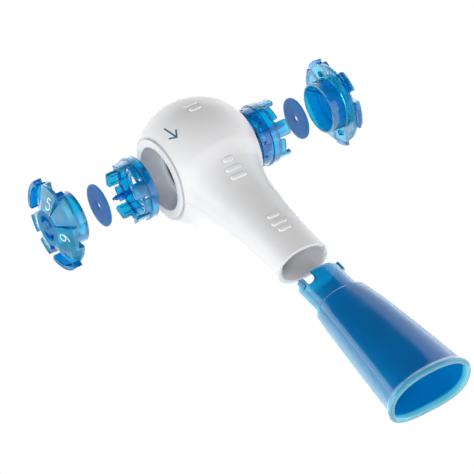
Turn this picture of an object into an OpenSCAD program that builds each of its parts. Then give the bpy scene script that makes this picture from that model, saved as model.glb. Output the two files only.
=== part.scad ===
// Hand-held breathing trainer with two turning resistance dials and a mouthpiece.
// Row frame: +X is the exhale dial, -X the inhale dial, -Y the mouthpiece end, +Z the marked front.
// It lies on z = 0 on the belly of the bulb and the mouthpiece rim, origin under the box centre.
// Lengths in millimetres.  The body frame has the bulb centre at 0 and the handle along -Y.
// Its pieces stand apart on their own axes; a share of 0 below puts them together.

/* [Taken apart] */
// share of the full distance at which the pieces stand apart, 0 is put together
apart = 1; // [0:0.05:1]
// distance of the inner end of a drawn-out cage from the bulb centre
cage_stand = 30.8; // [12:0.1:40]
// distance of the back of a drawn-off disc from the bulb centre
disc_stand = 52.4; // [14:0.1:60]
// distance of the inner end of a drawn-off sleeve from the bulb centre
sleeve_stand = 65.4; // [16:0.1:80]
// distance that the mouthpiece is drawn out of the neck
mouth_stand = 27.6; // [0:0.1:40]

/* [Bulb] */
// outer radius of the bulb
bulb_r = 29; // [24:0.5:34]
// wall thickness of the bulb
bulb_wall = 2.2; // [1.6:0.1:3]
// distance of the flat port face from the bulb centre
port_face_x = 20.6; // [16:0.1:24]
// gap left at the seam between the two shells
seam_gap = 0.1; // [0.05:0.05:0.4]

/* [Neck] */
// distance of the neck rim from the bulb centre
neck_len = 81; // [70:0.5:95]
// half width of the neck at its rim
neck_a = 12.95; // [11:0.05:15]
// half depth of the neck at its rim
neck_b = 9.5; // [8:0.05:11]
// wall thickness of the neck at the sides
neck_wall_a = 1.95; // [1.4:0.05:2.6]
// wall thickness of the neck at the front and back
neck_wall_b = 1.4; // [1:0.05:2]
// depth of the recessed grip marks
grip_depth = 0.5; // [0.2:0.05:0.8]
// width of one grip mark across the handle
grip_len = 7.4; // [4:0.1:9]
// height of one grip mark along the handle
grip_w = 2.4; // [1.5:0.1:3]
// pitch of the grip marks
grip_pitch = 4.2; // [3:0.1:6]

/* [Port rings] */
// bore radius of a port ring
port_bore_r = 15; // [12:0.05:17]
// outer radius of the tube of a port ring
port_tube_r = 17.2; // [14:0.05:19]
// outer radius of the lip of a port ring
port_lip_r = 18.75; // [16:0.05:20]
// thickness of the lip of a port ring
port_lip_t = 1.2; // [0.8:0.05:2]
// inner radius of the ledge on the inhale side
ledge_r_inhale = 13.2; // [10:0.05:14.5]
// inner radius of the ledge on the exhale side
ledge_r_exhale = 14.2; // [12:0.05:14.6]
// thickness of the ledge
ledge_t = 1.1; // [0.8:0.05:2]

/* [Cages] */
// distance of the inner end of a cage from the bulb centre
cage_x = 11.5; // [8:0.1:14]
// outer radius of the cage ring
cage_ring_r = 14.9; // [12:0.05:16.5]
// length of the cage ring
cage_ring_len = 3.6; // [2:0.1:5]
// outer radius of the crown
crown_r = 14.1; // [11:0.05:16]
// wall thickness of the crown
crown_wall = 1.7; // [1:0.05:2.4]
// height of the tall fingers above the inner end
tall_h = 10.4; // [8:0.1:12]
// height of the short fingers above the inner end
short_h = 7; // [5:0.1:9]
// width of the slots in the crown
slot_w = 1.2; // [0.8:0.05:2]
// number of tall fingers
tall_count = 5; // [3:1:6]
// radius of the centre post
post_r = 1.2; // [0.9:0.05:1.6]
// length of the centre post
post_len = 13.6; // [10:0.1:15]
// radius of the pin at the tip of the post
pin_r = 0.75; // [0.5:0.05:1]
// length of the pin at the tip of the post
pin_len = 1.5; // [1:0.1:2]
// thickness of the cage floor
floor_t = 1.2; // [0.8:0.05:2]
// height of the valve seat rim above the inner end
seat_h = 2.2; // [1.6:0.05:3]
// length of the skirt on the exhale cage
skirt_len = 5.5; // [3:0.1:7]
// outer radius of the skirt on the exhale cage
skirt_r = 14.05; // [12:0.05:14.6]
// radius of the bleed holes in the skirt
bleed_r = 0.8; // [0.4:0.05:1.2]

/* [Valve discs] */
// radius of a valve disc
disc_r = 10; // [8:0.1:11]
// thickness of a valve disc
disc_t = 1; // [0.6:0.05:1.5]
// radius of the hole in a valve disc
disc_hole_r = 1.35; // [1:0.05:2]

/* [Dials] */
// distance of the flange back of a dial from the bulb centre
dial_x = 22.3; // [18:0.1:25]
// height of the hub face above the flange back
hub_h = 7.5; // [6:0.1:9]
// radius of the flat hub face
hub_r = 8.6; // [7:0.1:10]
// outer radius of the flange
flange_r = 19.3; // [17:0.1:21]
// thickness of the flange
flange_t = 1.4; // [1:0.05:2]
// outer radius of the finger blocks
wing_r = 21.3; // [19:0.1:24]
// thickness of the hub plate
hub_plate_t = 1.5; // [1:0.05:2]
// radius of the centre hole in the hub
hub_hole_r = 0.9; // [0.5:0.05:1.2]
// middle radius of the curved vents
vent_r = 4.75; // [4:0.05:6]
// radial width of the curved vents
vent_w = 2.3; // [1.5:0.05:3]

/* [Sleeves] */
// outer radius of a sleeve
sleeve_r = 12.2; // [10:0.05:14]
// wall thickness of a sleeve
sleeve_wall = 1.1; // [0.8:0.05:1.6]
// length of a sleeve behind the flange back
sleeve_len = 6.6; // [5:0.1:8]
// radius of the nose that the dial turns on
nose_r = 7.6; // [6:0.05:9]

/* [Mouthpiece] */
// length of the mouthpiece outside the neck
mouth_len = 63; // [50:0.5:75]
// half width of the mouthpiece at its open end
mouth_a = 20.8; // [17:0.05:24]
// half depth of the mouthpiece at its open end
mouth_b = 13; // [10:0.05:15]
// wall thickness of the mouthpiece
mouth_wall = 1.6; // [1.2:0.05:2.2]
// length of the spigot inside the neck
spigot_len = 17; // [12:0.5:22]
// clearance of the spigot in the neck
spigot_gap = 0.25; // [0.1:0.05:0.5]
// wall thickness of the spigot
spigot_wall = 1.4; // [1:0.05:2]
// height of the catch nubs on the spigot
nub_h = 0.7; // [0.4:0.05:1]
// width of the notch in the spigot
notch_w = 4.2; // [3:0.1:6]
// depth of the notch in the spigot
notch_len = 5.6; // [3:0.1:8]

/* [Hidden] */
$fn = 96;

// how far every cut runs past the face it leaves
over = bulb_wall * 0.5;
// angle that brings the mouthpiece rim down to the table
mouth_end_y = -neck_len - mouth_len;
rim_y = mouth_end_y - apart * mouth_stand;
rest_reach = sqrt(rim_y * rim_y + mouth_b * mouth_b);
rest_tilt = asin(bulb_r / rest_reach) - atan(mouth_b / -rim_y);
// place of the box centre along Y, with the bulb top and the upper edge of the mouthpiece rim
low_end_y = rim_y * cos(rest_tilt) - mouth_b * sin(rest_tilt);
place_y = -(bulb_r + low_end_y) / 2;

white = [0.93, 0.93, 0.92];
blue = [0.06, 0.45, 0.75, 0.9];
disc_blue = [0.22, 0.47, 0.74];

// body frame to row frame
module place() {
  translate([0, place_y, bulb_r])
    rotate([rest_tilt, 0, 0])
      children();
}

// port frame to body frame: +Z runs out of the port, 0 is the bulb centre
module inhale_side() {
  rotate([0, -90, 0])
    children();
}

module exhale_side() {
  rotate([0, 90, 0])
    children();
}

// one point of a rounded oval section
function oval_x(a, n, t) = a * sign(cos(t)) * pow(abs(cos(t)), 2 / n);
function oval_z(b, n, t) = b * sign(sin(t)) * pow(abs(sin(t)), 2 / n);

// ring of points at one station: [y, a, b, n above, n below]
function ring_pts(s, count) =
  [for (i = [0 : count - 1])
    let (t = 360 * (i + 0.5) / count, n = (sin(t) > 0) ? s[3] : s[4])
      [oval_x(s[1], n, t), s[0], oval_z(s[2], n, t)]];

// closed solid through a list of stations that run towards -Y
module loft(stations, count) {
  rows = len(stations);
  pts = [for (s = stations) each ring_pts(s, count)];
  sides = [for (r = [0 : rows - 2], i = [0 : count - 1])
    let (j = (i + 1) % count, p = r * count, q = p + count)
      each [[p + i, q + i, q + j], [p + i, q + j, p + j]]];
  first = [[for (i = [0 : count - 1]) i]];
  last = [[for (i = [count - 1 : -1 : 0]) (rows - 1) * count + i]];
  polyhedron(points = pts, faces = concat(sides, first, last));
}

// neck outline: share of the neck length, of the rim half width and of the rim half depth
neck_shares = [
  [0.19, 1.78, 2.43], [0.245, 1.6, 2.17], [0.275, 1.49, 1.95], [0.31, 1.415, 1.78],
  [0.35, 1.345, 1.62], [0.40, 1.27, 1.48], [0.46, 1.205, 1.37], [0.54, 1.145, 1.28],
  [0.64, 1.075, 1.19], [0.75, 1.035, 1.13], [0.87, 1.012, 1.06], [1, 1, 1]];
neck_power = 2.2;
oval_count = 40;

module neck_outer() {
  loft([for (s = neck_shares)
    [-s[0] * neck_len, s[1] * neck_a, s[2] * neck_b, neck_power, neck_power]], oval_count);
}

module neck_inner() {
  run = [for (s = neck_shares)
    [-s[0] * neck_len, s[1] * neck_a - neck_wall_a, s[2] * neck_b - neck_wall_b,
     neck_power, neck_power]];
  past = [[-neck_len - over, neck_a - neck_wall_a, neck_b - neck_wall_b, neck_power, neck_power]];
  loft(concat(run, past), oval_count);
}

// grooves that the nubs of the spigot run in
nub_w = nub_h * 3.6;
nub_y = -neck_len + spigot_len - nub_w * 0.95;
nub_turn = 17.5;
nub_reach = (neck_a - neck_wall_a - spigot_gap) * 0.98 + nub_h;
groove_end_y = -neck_len + spigot_len + over;
module nub_grooves() {
  for (turn = [-nub_turn, 180 + nub_turn])
    rotate([0, turn, 0])
      translate([nub_reach * 0.6, -neck_len - over, -nub_w / 2 - spigot_gap])
        cube([nub_reach * 0.4 + spigot_gap, groove_end_y + neck_len + over, nub_w + 2 * spigot_gap]);
}

// one rounded bar, flat in XY, long side along X
module bar(len, wide, deep) {
  straight = len - wide;
  linear_extrude(height = deep) {
    translate([-straight / 2, 0])
      circle(d = wide);
    translate([straight / 2, 0])
      circle(d = wide);
    square([straight, wide], center = true);
  }
}

// grip marks: on the bulb they are set by angle, on the neck by share of its length
top_mark_angles = [6, 14.5];
top_mark_lens = [0.8, 1];
neck_mark_shares = [0.285, 0.335, 0.385, 0.715, 0.77, 0.822];
neck_mark_lens = [0.72, 1.05, 1.05, 0.8, 1.05, 0.85];
slope_step = 0.02;
function neck_top(share) = neck_b * lookup(share, [for (s = neck_shares) [s[0], s[2]]]);
function neck_slope(share) =
  atan((neck_top(share - slope_step) - neck_top(share + slope_step)) / (2 * slope_step * neck_len));
module grip_cuts() {
  for (i = [0 : len(top_mark_angles) - 1])
    rotate([-top_mark_angles[i], 0, 0])
      translate([0, 0, bulb_r - grip_depth])
        bar(grip_len * top_mark_lens[i], grip_w, over);
  for (i = [0 : len(neck_mark_shares) - 1])
    translate([0, -neck_mark_shares[i] * neck_len, neck_top(neck_mark_shares[i])])
      rotate([neck_slope(neck_mark_shares[i]), 0, 0])
        translate([0, 0, -grip_depth])
          bar(grip_len * neck_mark_lens[i], grip_w, over);
}

// bulb about the port axis: hollow ball with a flat face and an inner wall round each port
port_gap = 0.1;
hole_r = port_tube_r + port_gap;
boss_r = port_tube_r + bulb_wall * 0.85;
boss_x = port_face_x * 0.72;
face_out_r = sqrt(max(0, bulb_r * bulb_r - port_face_x * port_face_x));
port_wall_r = max(boss_r, face_out_r - bulb_wall * 0.2);
module bulb_outline() {
  difference() {
    circle(r = bulb_r);
    circle(r = bulb_r - bulb_wall);
    translate([-bulb_r, -bulb_r])
      square([bulb_r, 2 * bulb_r]);
    for (side = [-1, 1])
      translate([0, side * (port_face_x + bulb_r / 2)])
        square([2 * bulb_r, bulb_r], center = true);
  }
  for (side = [-1, 1])
    translate([(hole_r + boss_r) / 2, side * (port_face_x + boss_x) / 2])
      square([boss_r - hole_r, port_face_x - boss_x], center = true);
  for (side = [-1, 1])
    translate([(hole_r + port_wall_r) / 2, side * (port_face_x - bulb_wall / 2)])
      square([port_wall_r - hole_r, bulb_wall], center = true);
}

module bulb() {
  difference() {
    rotate([0, 90, 0])
      rotate_extrude()
        bulb_outline();
    rotate([0, 90, 0])
      cylinder(r = hole_r, h = 2 * bulb_r, center = true);
  }
}

// keeps the root of the neck behind the flat port faces
module port_flats() {
  for (turn = [-90, 90])
    rotate([0, turn, 0])
      translate([0, 0, port_face_x])
        cylinder(r = bulb_r * 1.1, h = bulb_r);
}

// whole housing before it is parted at the seam
module housing() {
  difference() {
    union() {
      bulb();
      difference() {
        neck_outer();
        sphere(r = bulb_r - bulb_wall / 2);
      }
    }
    neck_inner();
    nub_grooves();
    grip_cuts();
    port_flats();
  }
}

big = bulb_r + neck_len + mouth_len;
module shell_front() {
  color(white)
    place()
      intersection() {
        housing();
        translate([-big, -big, seam_gap / 2])
          cube([2 * big, 2 * big, big]);
      }
}

module shell_back() {
  color(white)
    place()
      intersection() {
        housing();
        translate([-big, -big, -big - seam_gap / 2])
          cube([2 * big, 2 * big, big]);
      }
}

// port ring: tube, ledge at its inner end and a rounded lip outside
lip_x = port_face_x + seam_gap / 2;
ring_in_x = cage_x - seam_gap - ledge_t;
module port_ring(ledge_r) {
  round_r = port_lip_t / 2;
  rotate_extrude() {
    translate([port_bore_r, ring_in_x])
      square([port_tube_r - port_bore_r, lip_x + round_r - ring_in_x]);
    translate([ledge_r, ring_in_x])
      square([port_tube_r - ledge_r, ledge_t]);
    translate([port_bore_r, lip_x])
      square([port_lip_r - round_r - port_bore_r, round_r]);
    translate([port_bore_r + round_r, lip_x])
      square([port_lip_r - port_bore_r - 2 * round_r, port_lip_t]);
    translate([port_bore_r + round_r, lip_x + round_r])
      circle(r = round_r);
    translate([port_lip_r - round_r, lip_x + round_r])
      circle(r = round_r);
  }
}

module port_ring_inhale() {
  color(white)
    place()
      inhale_side()
        port_ring(ledge_r_inhale);
}

module port_ring_exhale() {
  color(white)
    place()
      exhale_side()
        port_ring(ledge_r_exhale);
}

// cage: floor with spokes, seat rim, ring, crown of tall and short fingers, post and pin
finger_step = 360 / tall_count;
crown_in_r = crown_r - crown_wall;
crown_mid_r = crown_r - crown_wall / 2;
bevel = crown_wall * 0.5;
seat_out_r = disc_r * 0.94;
seat_in_r = disc_r * 0.82;
spoke_w = post_r * 1.25;
spoke_count = tall_count;
boss_post_r = post_r * 2.1;
module cage_body() {
  rotate_extrude()
    polygon([[crown_in_r, 0], [cage_ring_r, 0], [cage_ring_r, cage_ring_len],
             [crown_r, cage_ring_len], [crown_r, tall_h - 2 * bevel],
             [crown_r - bevel, tall_h], [crown_in_r, tall_h]]);
  rotate_extrude()
    translate([seat_in_r, 0])
      square([seat_out_r - seat_in_r, seat_h]);
}

module post() {
  cylinder(r = boss_post_r, h = seat_h);
  cylinder(r = post_r, h = post_len);
  cylinder(r = pin_r, h = post_len + pin_len);
}

module spokes(reach) {
  for (i = [0 : spoke_count - 1])
    rotate([0, 0, i * 360 / spoke_count])
      translate([0, -spoke_w / 2, 0])
        cube([reach, spoke_w, floor_t]);
}

// slots, and the cuts that leave every second finger short
half_gap = crown_mid_r * sin(finger_step / 4) + slot_w / 2;
module crown_cuts() {
  for (i = [0 : 2 * tall_count - 1])
    rotate([0, 0, (i + 0.5) * finger_step / 2])
      translate([crown_in_r - crown_wall / 2, -slot_w / 2, cage_ring_len])
        cube([2 * crown_wall, slot_w, tall_h]);
  for (i = [0 : tall_count - 1])
    rotate([0, 0, i * finger_step])
      translate([crown_mid_r * cos(finger_step / 4) - crown_wall * 1.2, 0, 0])
        rotate([90, 0, 90])
          linear_extrude(height = crown_wall * 3)
            polygon([[-half_gap, short_h], [half_gap, short_h], [half_gap, tall_h - bevel],
                     [half_gap + bevel, tall_h + over], [-half_gap - bevel, tall_h + over],
                     [-half_gap, tall_h - bevel]]);
}

crown_turn_inhale = -85;
crown_turn_exhale = 50;
cage_now_x = cage_x + apart * (cage_stand - cage_x);
module cage_inhale() {
  color(blue)
    place()
      inhale_side()
        translate([0, 0, cage_now_x])
          rotate([0, 0, crown_turn_inhale])
            difference() {
              union() {
                cage_body();
                post();
                spokes(crown_in_r + crown_wall / 2);
              }
              crown_cuts();
            }
}

bleed_count = 12;
bleed_h = skirt_len * 0.7;
module exhale_outline() {
  polygon([[seat_in_r, 0], [crown_in_r, 0], [crown_in_r, -skirt_len], [skirt_r, -skirt_len],
           [skirt_r, 0], [cage_ring_r, 0], [cage_ring_r, cage_ring_len],
           [crown_r, cage_ring_len], [crown_r, tall_h - 2 * bevel], [crown_r - bevel, tall_h],
           [crown_in_r, tall_h], [crown_in_r, floor_t], [seat_out_r, floor_t],
           [seat_out_r, seat_h], [seat_in_r, seat_h]]);
}

module bleed_holes() {
  for (i = [0 : bleed_count - 1])
    rotate([0, 0, (i + 0.4) * 360 / bleed_count])
      translate([crown_in_r - crown_wall / 2, 0, -bleed_h])
        rotate([0, 90, 0])
          cylinder(r = bleed_r, h = 2 * crown_wall);
}

module cage_exhale() {
  color(blue)
    place()
      exhale_side()
        translate([0, 0, cage_now_x])
          rotate([0, 0, crown_turn_exhale]) {
            difference() {
              rotate_extrude()
                exhale_outline();
              crown_cuts();
              bleed_holes();
            }
            post();
            spokes(seat_in_r + over / 2);
          }
}

// flexible discs on the posts
disc_gap = 0.2;
disc_x_inhale = dial_x - sleeve_len - disc_gap - disc_t;
disc_x_exhale = cage_x + seat_h + disc_gap;
module valve_disc() {
  difference() {
    cylinder(r = disc_r, h = disc_t);
    translate([0, 0, -over])
      cylinder(r = disc_hole_r, h = disc_t + 2 * over);
  }
}

module disc_inhale() {
  color(disc_blue)
    place()
      inhale_side()
        translate([0, 0, disc_x_inhale + apart * (disc_stand - disc_x_inhale)])
          valve_disc();
}

module disc_exhale() {
  color(disc_blue)
    place()
      exhale_side()
        translate([0, 0, disc_x_exhale + apart * (disc_stand - disc_x_exhale)])
          valve_disc();
}

// sleeve: 0 is the flange back of the dial, the collar runs inwards from it
turn_gap = 0.06;
face_gap = 0.15;
nose_top = hub_h - hub_plate_t - face_gap;
shoulder_top = hub_h * 0.353;
nose_in_r = nose_r - sleeve_wall;
sleeve_in_r = sleeve_r - sleeve_wall;
dial_now_x = dial_x + apart * (sleeve_stand + sleeve_len - dial_x);
module sleeve_shape() {
  rotate_extrude()
    polygon([[sleeve_in_r, -sleeve_len], [sleeve_r, -sleeve_len], [sleeve_r, shoulder_top],
             [nose_r, shoulder_top], [nose_r, nose_top], [0, nose_top],
             [0, nose_top - sleeve_wall], [nose_in_r, nose_top - sleeve_wall],
             [nose_in_r, shoulder_top - sleeve_wall], [sleeve_in_r, shoulder_top - sleeve_wall]]);
}

// graded air holes in the end plate of the sleeve
module graded_holes(count, first_r, last_r) {
  for (i = [0 : count - 1])
    rotate([0, 0, i * 300 / count])
      translate([vent_r, 0, 0])
        cylinder(r = first_r + (last_r - first_r) * i / (count - 1), h = hub_h);
}

hole_small_r = vent_w * 0.18;
hole_large_r = vent_w * 0.46;
seat_ring_r = disc_r * 0.88;
module sleeve_inhale() {
  color(blue)
    place()
      inhale_side()
        translate([0, 0, dial_now_x])
          difference() {
            union() {
              sleeve_shape();
              translate([0, 0, -sleeve_len])
                cylinder(r = sleeve_in_r + sleeve_wall / 2, h = sleeve_wall * 0.7);
            }
            translate([0, 0, -sleeve_len - over])
              cylinder(r = seat_ring_r, h = sleeve_wall + over);
            graded_holes(6, hole_small_r, hole_large_r);
          }
}

module sleeve_exhale() {
  color(blue)
    place()
      exhale_side()
        translate([0, 0, dial_now_x])
          difference() {
            sleeve_shape();
            graded_holes(5, hole_small_r, hole_large_r);
          }
}

// dial: low cone with flange, raised facets, finger blocks, vents and two pockets
low_hub_h = hub_h * 0.945;
low_mid_r = hub_r * 1.58;
low_mid_h = hub_h * 0.52;
facet_r = flange_r - over * 0.1;
facet_h = hub_h * 0.59;
wing_low = hub_h * 0.12;
wing_high_inhale = hub_h * 0.65;
wing_high_exhale = hub_h * 0.33;
wing_in_r = flange_r - over * 0.6;
module low_cone() {
  rotate_extrude()
    polygon([[0, 0], [flange_r, 0], [flange_r, flange_t], [low_mid_r, low_mid_h],
             [hub_r, low_hub_h], [hub_r, hub_h], [0, hub_h]]);
}

module high_cone() {
  rotate_extrude()
    polygon([[0, 0], [facet_r, 0], [facet_r, facet_h], [hub_r, hub_h], [0, hub_h]]);
}

module wing_ring(wing_high) {
  rotate_extrude()
    translate([wing_in_r, wing_low])
      square([wing_r - wing_in_r, wing_high - wing_low]);
}

// sector of a raised facet: [rim start, rim end, hub start, hub end] in degrees
far_r = wing_r * 1.4;
relief_in = 3;
root_r = hub_r * 0.9;
module facet_sector(s) {
  linear_extrude(height = hub_h + over)
    polygon([[root_r * cos(s[2]), root_r * sin(s[2])],
             [far_r * cos(s[0]), far_r * sin(s[0])],
             [far_r * cos(s[1]), far_r * sin(s[1])],
             [root_r * cos(s[3]), root_r * sin(s[3])]]);
}

module wing_sector(s) {
  linear_extrude(height = hub_h + over)
    polygon([[0, 0], [far_r * cos(s[0]), far_r * sin(s[0])],
             [far_r * cos((s[0] + s[1]) / 2), far_r * sin((s[0] + s[1]) / 2)],
             [far_r * cos(s[1]), far_r * sin(s[1])]]);
}

// two curved vents in the hub plate
vent_half = 62;
module vent_cuts(turn) {
  for (k = [0, 180])
    rotate([0, 0, turn + k]) {
      intersection() {
        rotate_extrude()
          translate([vent_r - vent_w / 2, 0])
            square([vent_w, hub_h + over]);
        linear_extrude(height = hub_h + over)
          polygon([[0, 0], [far_r * cos(-vent_half), far_r * sin(-vent_half)], [far_r, 0],
                   [far_r * cos(vent_half), far_r * sin(vent_half)]]);
      }
      for (e = [-vent_half, vent_half])
        rotate([0, 0, e])
          translate([vent_r, 0, 0])
            cylinder(d = vent_w * 1.03, h = hub_h + over);
    }
}

pocket_r = crown_r * 1.02;
pocket_w = crown_wall * 1.7;
pocket_len = crown_wall * 3.3;
pocket_d = crown_wall * 1.1;
// hollow under the rim of a broad facet, so that its edge is a plate
relief_r = sleeve_r + crown_wall * 1.2;
relief_top = facet_h - flange_t * 1.1;
module relief(s) {
  intersection() {
    translate([0, 0, -over])
      difference() {
        cylinder(r = far_r, h = relief_top + over);
        cylinder(r = relief_r, h = relief_top + over);
      }
    translate([0, 0, -over])
      facet_sector([s[0] + relief_in, s[1] - relief_in, s[2] + relief_in, s[3] - relief_in]);
  }
}

module pockets(turns) {
  for (t = turns)
    rotate([0, 0, t])
      translate([pocket_r, 0, -over])
        rotate([0, 0, 90])
          bar(pocket_len, pocket_w, pocket_d + over);
}

module dial_bore() {
  translate([0, 0, -over])
    cylinder(r = sleeve_r + face_gap, h = shoulder_top + face_gap + over);
  cylinder(r = nose_r + turn_gap, h = nose_top + face_gap);
  cylinder(r = hub_hole_r, h = hub_h + over);
}

module dial(sectors, wings, vent_turn, pocket_turns, wing_high, hollows) {
  difference() {
    union() {
      low_cone();
      for (s = sectors)
        intersection() {
          high_cone();
          facet_sector(s);
        }
      for (s = wings)
        intersection() {
          wing_ring(wing_high);
          wing_sector(s);
        }
    }
    dial_bore();
    vent_cuts(vent_turn);
    pockets(pocket_turns);
    for (s = hollows)
      relief(s);
  }
}

// inhale: two broad raised facets and a pair; exhale: five facets
pair_half_gap = 4.5;
pair_half = 27.5;
pair_hub_half = 47;
hub_half_gap = 1.6;
function pair_sectors(g) = [
  [g - pair_half, g - pair_half_gap, g - pair_hub_half, g - hub_half_gap],
  [g + pair_half_gap, g + pair_half, g + hub_half_gap, g + pair_hub_half]];
inhale_pair = pair_sectors(140);
inhale_sectors = concat([[-9, 25, -18, 38], [272, 298, 250, 314]], inhale_pair);
inhale_wings = concat([[-16, -8.5], [45, 102], [176, 238]], inhale_pair);
exhale_sectors = [
  [82, 107, 62, 107.9], [112, 147, 111.1, 159], [192, 220, 180, 226.9],
  [237, 272, 230.1, 285], [322, 348, 308, 362]];
vent_turn_inhale = 22;
vent_turn_exhale = 40;
pocket_turns_inhale = [47, 205];
pocket_turns_exhale = [146, 322];
module dial_inhale() {
  color(blue)
    place()
      inhale_side()
        translate([0, 0, dial_now_x])
          dial(inhale_sectors, inhale_wings, vent_turn_inhale, pocket_turns_inhale, wing_high_inhale,
               [inhale_sectors[0], inhale_sectors[1]]);
}

module dial_exhale() {
  color(blue)
    place()
      exhale_side()
        translate([0, 0, dial_now_x])
          dial(exhale_sectors, exhale_sectors, vent_turn_exhale, pocket_turns_exhale, wing_high_exhale, []);
}

// mouthpiece outline: share of its length, of the end half width and of the end half depth,
// rounding power above and below
mouth_shares = [
  [0, 0.622, 0.731, 2.2, 2.2], [0.05, 0.641, 0.744, 2.35, 2.35], [0.15, 0.674, 0.77, 2.6, 2.6],
  [0.3, 0.724, 0.808, 2.7, 2.75], [0.5, 0.79, 0.85, 2.65, 2.8], [0.7, 0.858, 0.888, 2.5, 2.8],
  [0.88, 0.918, 0.918, 2.35, 2.8], [0.95, 0.945, 0.935, 2.25, 2.8]];
lip_shares = [
  [0.95, 0.95, 0.94], [0.958, 0.978, 0.972], [0.968, 0.993, 0.992], [0.979, 1, 1],
  [0.99, 0.993, 0.992], [0.997, 0.978, 0.972], [1, 0.955, 0.945]];
lip_up = 2.2;
lip_down = 2.8;
shoulder_y = -neck_len - seam_gap * 2;
mouth_run = mouth_len - seam_gap * 2;
module mouth_outer() {
  body = [for (s = mouth_shares)
    [shoulder_y - s[0] * mouth_run, s[1] * mouth_a, s[2] * mouth_b, s[3], s[4]]];
  lip = [for (s = lip_shares)
    [shoulder_y - s[0] * mouth_run, s[1] * mouth_a, s[2] * mouth_b, lip_up, lip_down]];
  loft(concat(body, lip), oval_count);
}

spigot_a = neck_a - neck_wall_a - spigot_gap;
spigot_b = neck_b - neck_wall_b - spigot_gap;
spigot_end_y = shoulder_y + spigot_len;
root_y = shoulder_y - over;
module spigot_outer() {
  loft([[spigot_end_y, spigot_a - spigot_gap, spigot_b - spigot_gap, neck_power, neck_power],
        [spigot_end_y - over, spigot_a, spigot_b, neck_power, neck_power],
        [root_y, spigot_a, spigot_b, neck_power, neck_power]], oval_count);
}

module mouth_inner() {
  top = [[spigot_end_y + over, spigot_a - spigot_wall, spigot_b - spigot_wall,
          neck_power, neck_power],
         [root_y, spigot_a - spigot_wall, spigot_b - spigot_wall, neck_power, neck_power]];
  body = [for (s = mouth_shares) if (s[0] > 0.1)
    [shoulder_y - s[0] * mouth_run, s[1] * mouth_a - mouth_wall, s[2] * mouth_b - mouth_wall,
     s[3], s[4]]];
  past = [[mouth_end_y - over, mouth_a * 0.955 - mouth_wall, mouth_b * 0.94 - mouth_wall,
           lip_up, lip_down]];
  loft(concat(top, body, past), oval_count);
}

notch_turn = 50;
module mouth_notch() {
  rotate([0, -notch_turn, 0])
    translate([-notch_w / 2, spigot_end_y - notch_len + notch_w / 2, spigot_b * 0.6])
      cube([notch_w, notch_len + over, spigot_a]);
  rotate([0, -notch_turn, 0])
    translate([0, spigot_end_y - notch_len + notch_w / 2, spigot_b * 0.6])
      cylinder(d = notch_w, h = spigot_a);
}

nub_len = nub_w * 1.8;
module nubs() {
  for (turn = [-nub_turn, 180 + nub_turn])
    rotate([0, turn, 0])
      translate([nub_reach * 0.82, nub_y - nub_len / 2, -nub_w / 2])
        cube([nub_reach * 0.18, nub_len, nub_w]);
}

module mouthpiece() {
  color(blue)
    place()
      translate([0, -apart * mouth_stand, 0])
        difference() {
          union() {
            mouth_outer();
            spigot_outer();
            nubs();
          }
          mouth_inner();
          mouth_notch();
        }
}

shell_front();
shell_back();
port_ring_inhale();
port_ring_exhale();
cage_inhale();
cage_exhale();
disc_inhale();
disc_exhale();
sleeve_inhale();
sleeve_exhale();
dial_inhale();
dial_exhale();
mouthpiece();
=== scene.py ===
"""Looks of the breathing trainer: smooth moulded pieces, finishes, numerals, marks, stage and camera."""

import itertools
import math

import bmesh
import bpy
import numpy as np
from bpy.props import FloatProperty, FloatVectorProperty, PointerProperty
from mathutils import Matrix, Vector


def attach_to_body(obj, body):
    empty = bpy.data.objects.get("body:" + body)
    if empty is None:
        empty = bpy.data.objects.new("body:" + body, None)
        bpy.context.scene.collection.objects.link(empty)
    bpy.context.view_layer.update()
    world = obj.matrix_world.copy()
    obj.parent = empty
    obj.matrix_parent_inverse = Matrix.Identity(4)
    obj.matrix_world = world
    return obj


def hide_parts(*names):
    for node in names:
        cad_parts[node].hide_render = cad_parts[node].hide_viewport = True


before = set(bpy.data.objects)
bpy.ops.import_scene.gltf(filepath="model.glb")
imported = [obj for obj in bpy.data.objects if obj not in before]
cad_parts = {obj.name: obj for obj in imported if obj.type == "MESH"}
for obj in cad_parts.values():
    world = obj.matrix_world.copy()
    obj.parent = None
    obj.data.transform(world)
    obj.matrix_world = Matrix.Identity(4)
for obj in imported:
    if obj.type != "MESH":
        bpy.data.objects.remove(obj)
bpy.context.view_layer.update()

bl_info = {
    "name": "Breathing trainer",
    "version": (1, 0, 0),
    "blender": (4, 5, 0),
    "location": "View3D > Sidebar > Trainer",
    "description": "Builds the moulded pieces, finishes, numerals and stage of a breathing trainer",
    "category": "Object",
}

MM = 0.001
TAU = 2 * math.pi
AXIS = 0.002  # radius that stands for a profile's point on the axis
SIDES = (("inhale", -1), ("exhale", 1))

# lengths in millimetres, the same as the solids have
BULB_R = 29.0
BULB_WALL = 2.2
PORT_FACE = 20.6
PORT_HOLE_R = 17.3
NECK_LEN = 81.0
NECK_A = 12.95
NECK_B = 9.5
NECK_WALL_A = 1.95
NECK_WALL_B = 1.4
SEAM_HALF = 0.05
MOUTH_LEN = 63.0
MOUTH_A = 20.8
MOUTH_B = 13.0
MOUTH_WALL = 1.6
MOUTH_OUT = 27.6
SPIGOT_LEN = 17.0
SPIGOT_GAP = 0.25
SPIGOT_WALL = 1.4
SHOULDER_GAP = 0.2
CAGE_STAND = 30.8
DISC_STAND = 52.4
DIAL_STAND = 72.0

# resting tilt and place of the housing on the table
RIM_Y = NECK_LEN + MOUTH_LEN + MOUTH_OUT
TILT = math.asin(BULB_R / math.hypot(RIM_Y, MOUTH_B)) - math.atan2(MOUTH_B, RIM_Y)
PLACE_Y = -(BULB_R - RIM_Y * math.cos(TILT) - MOUTH_B * math.sin(TILT)) / 2


# ---------------------------------------------------------------- shapes as (points, faces)


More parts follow.
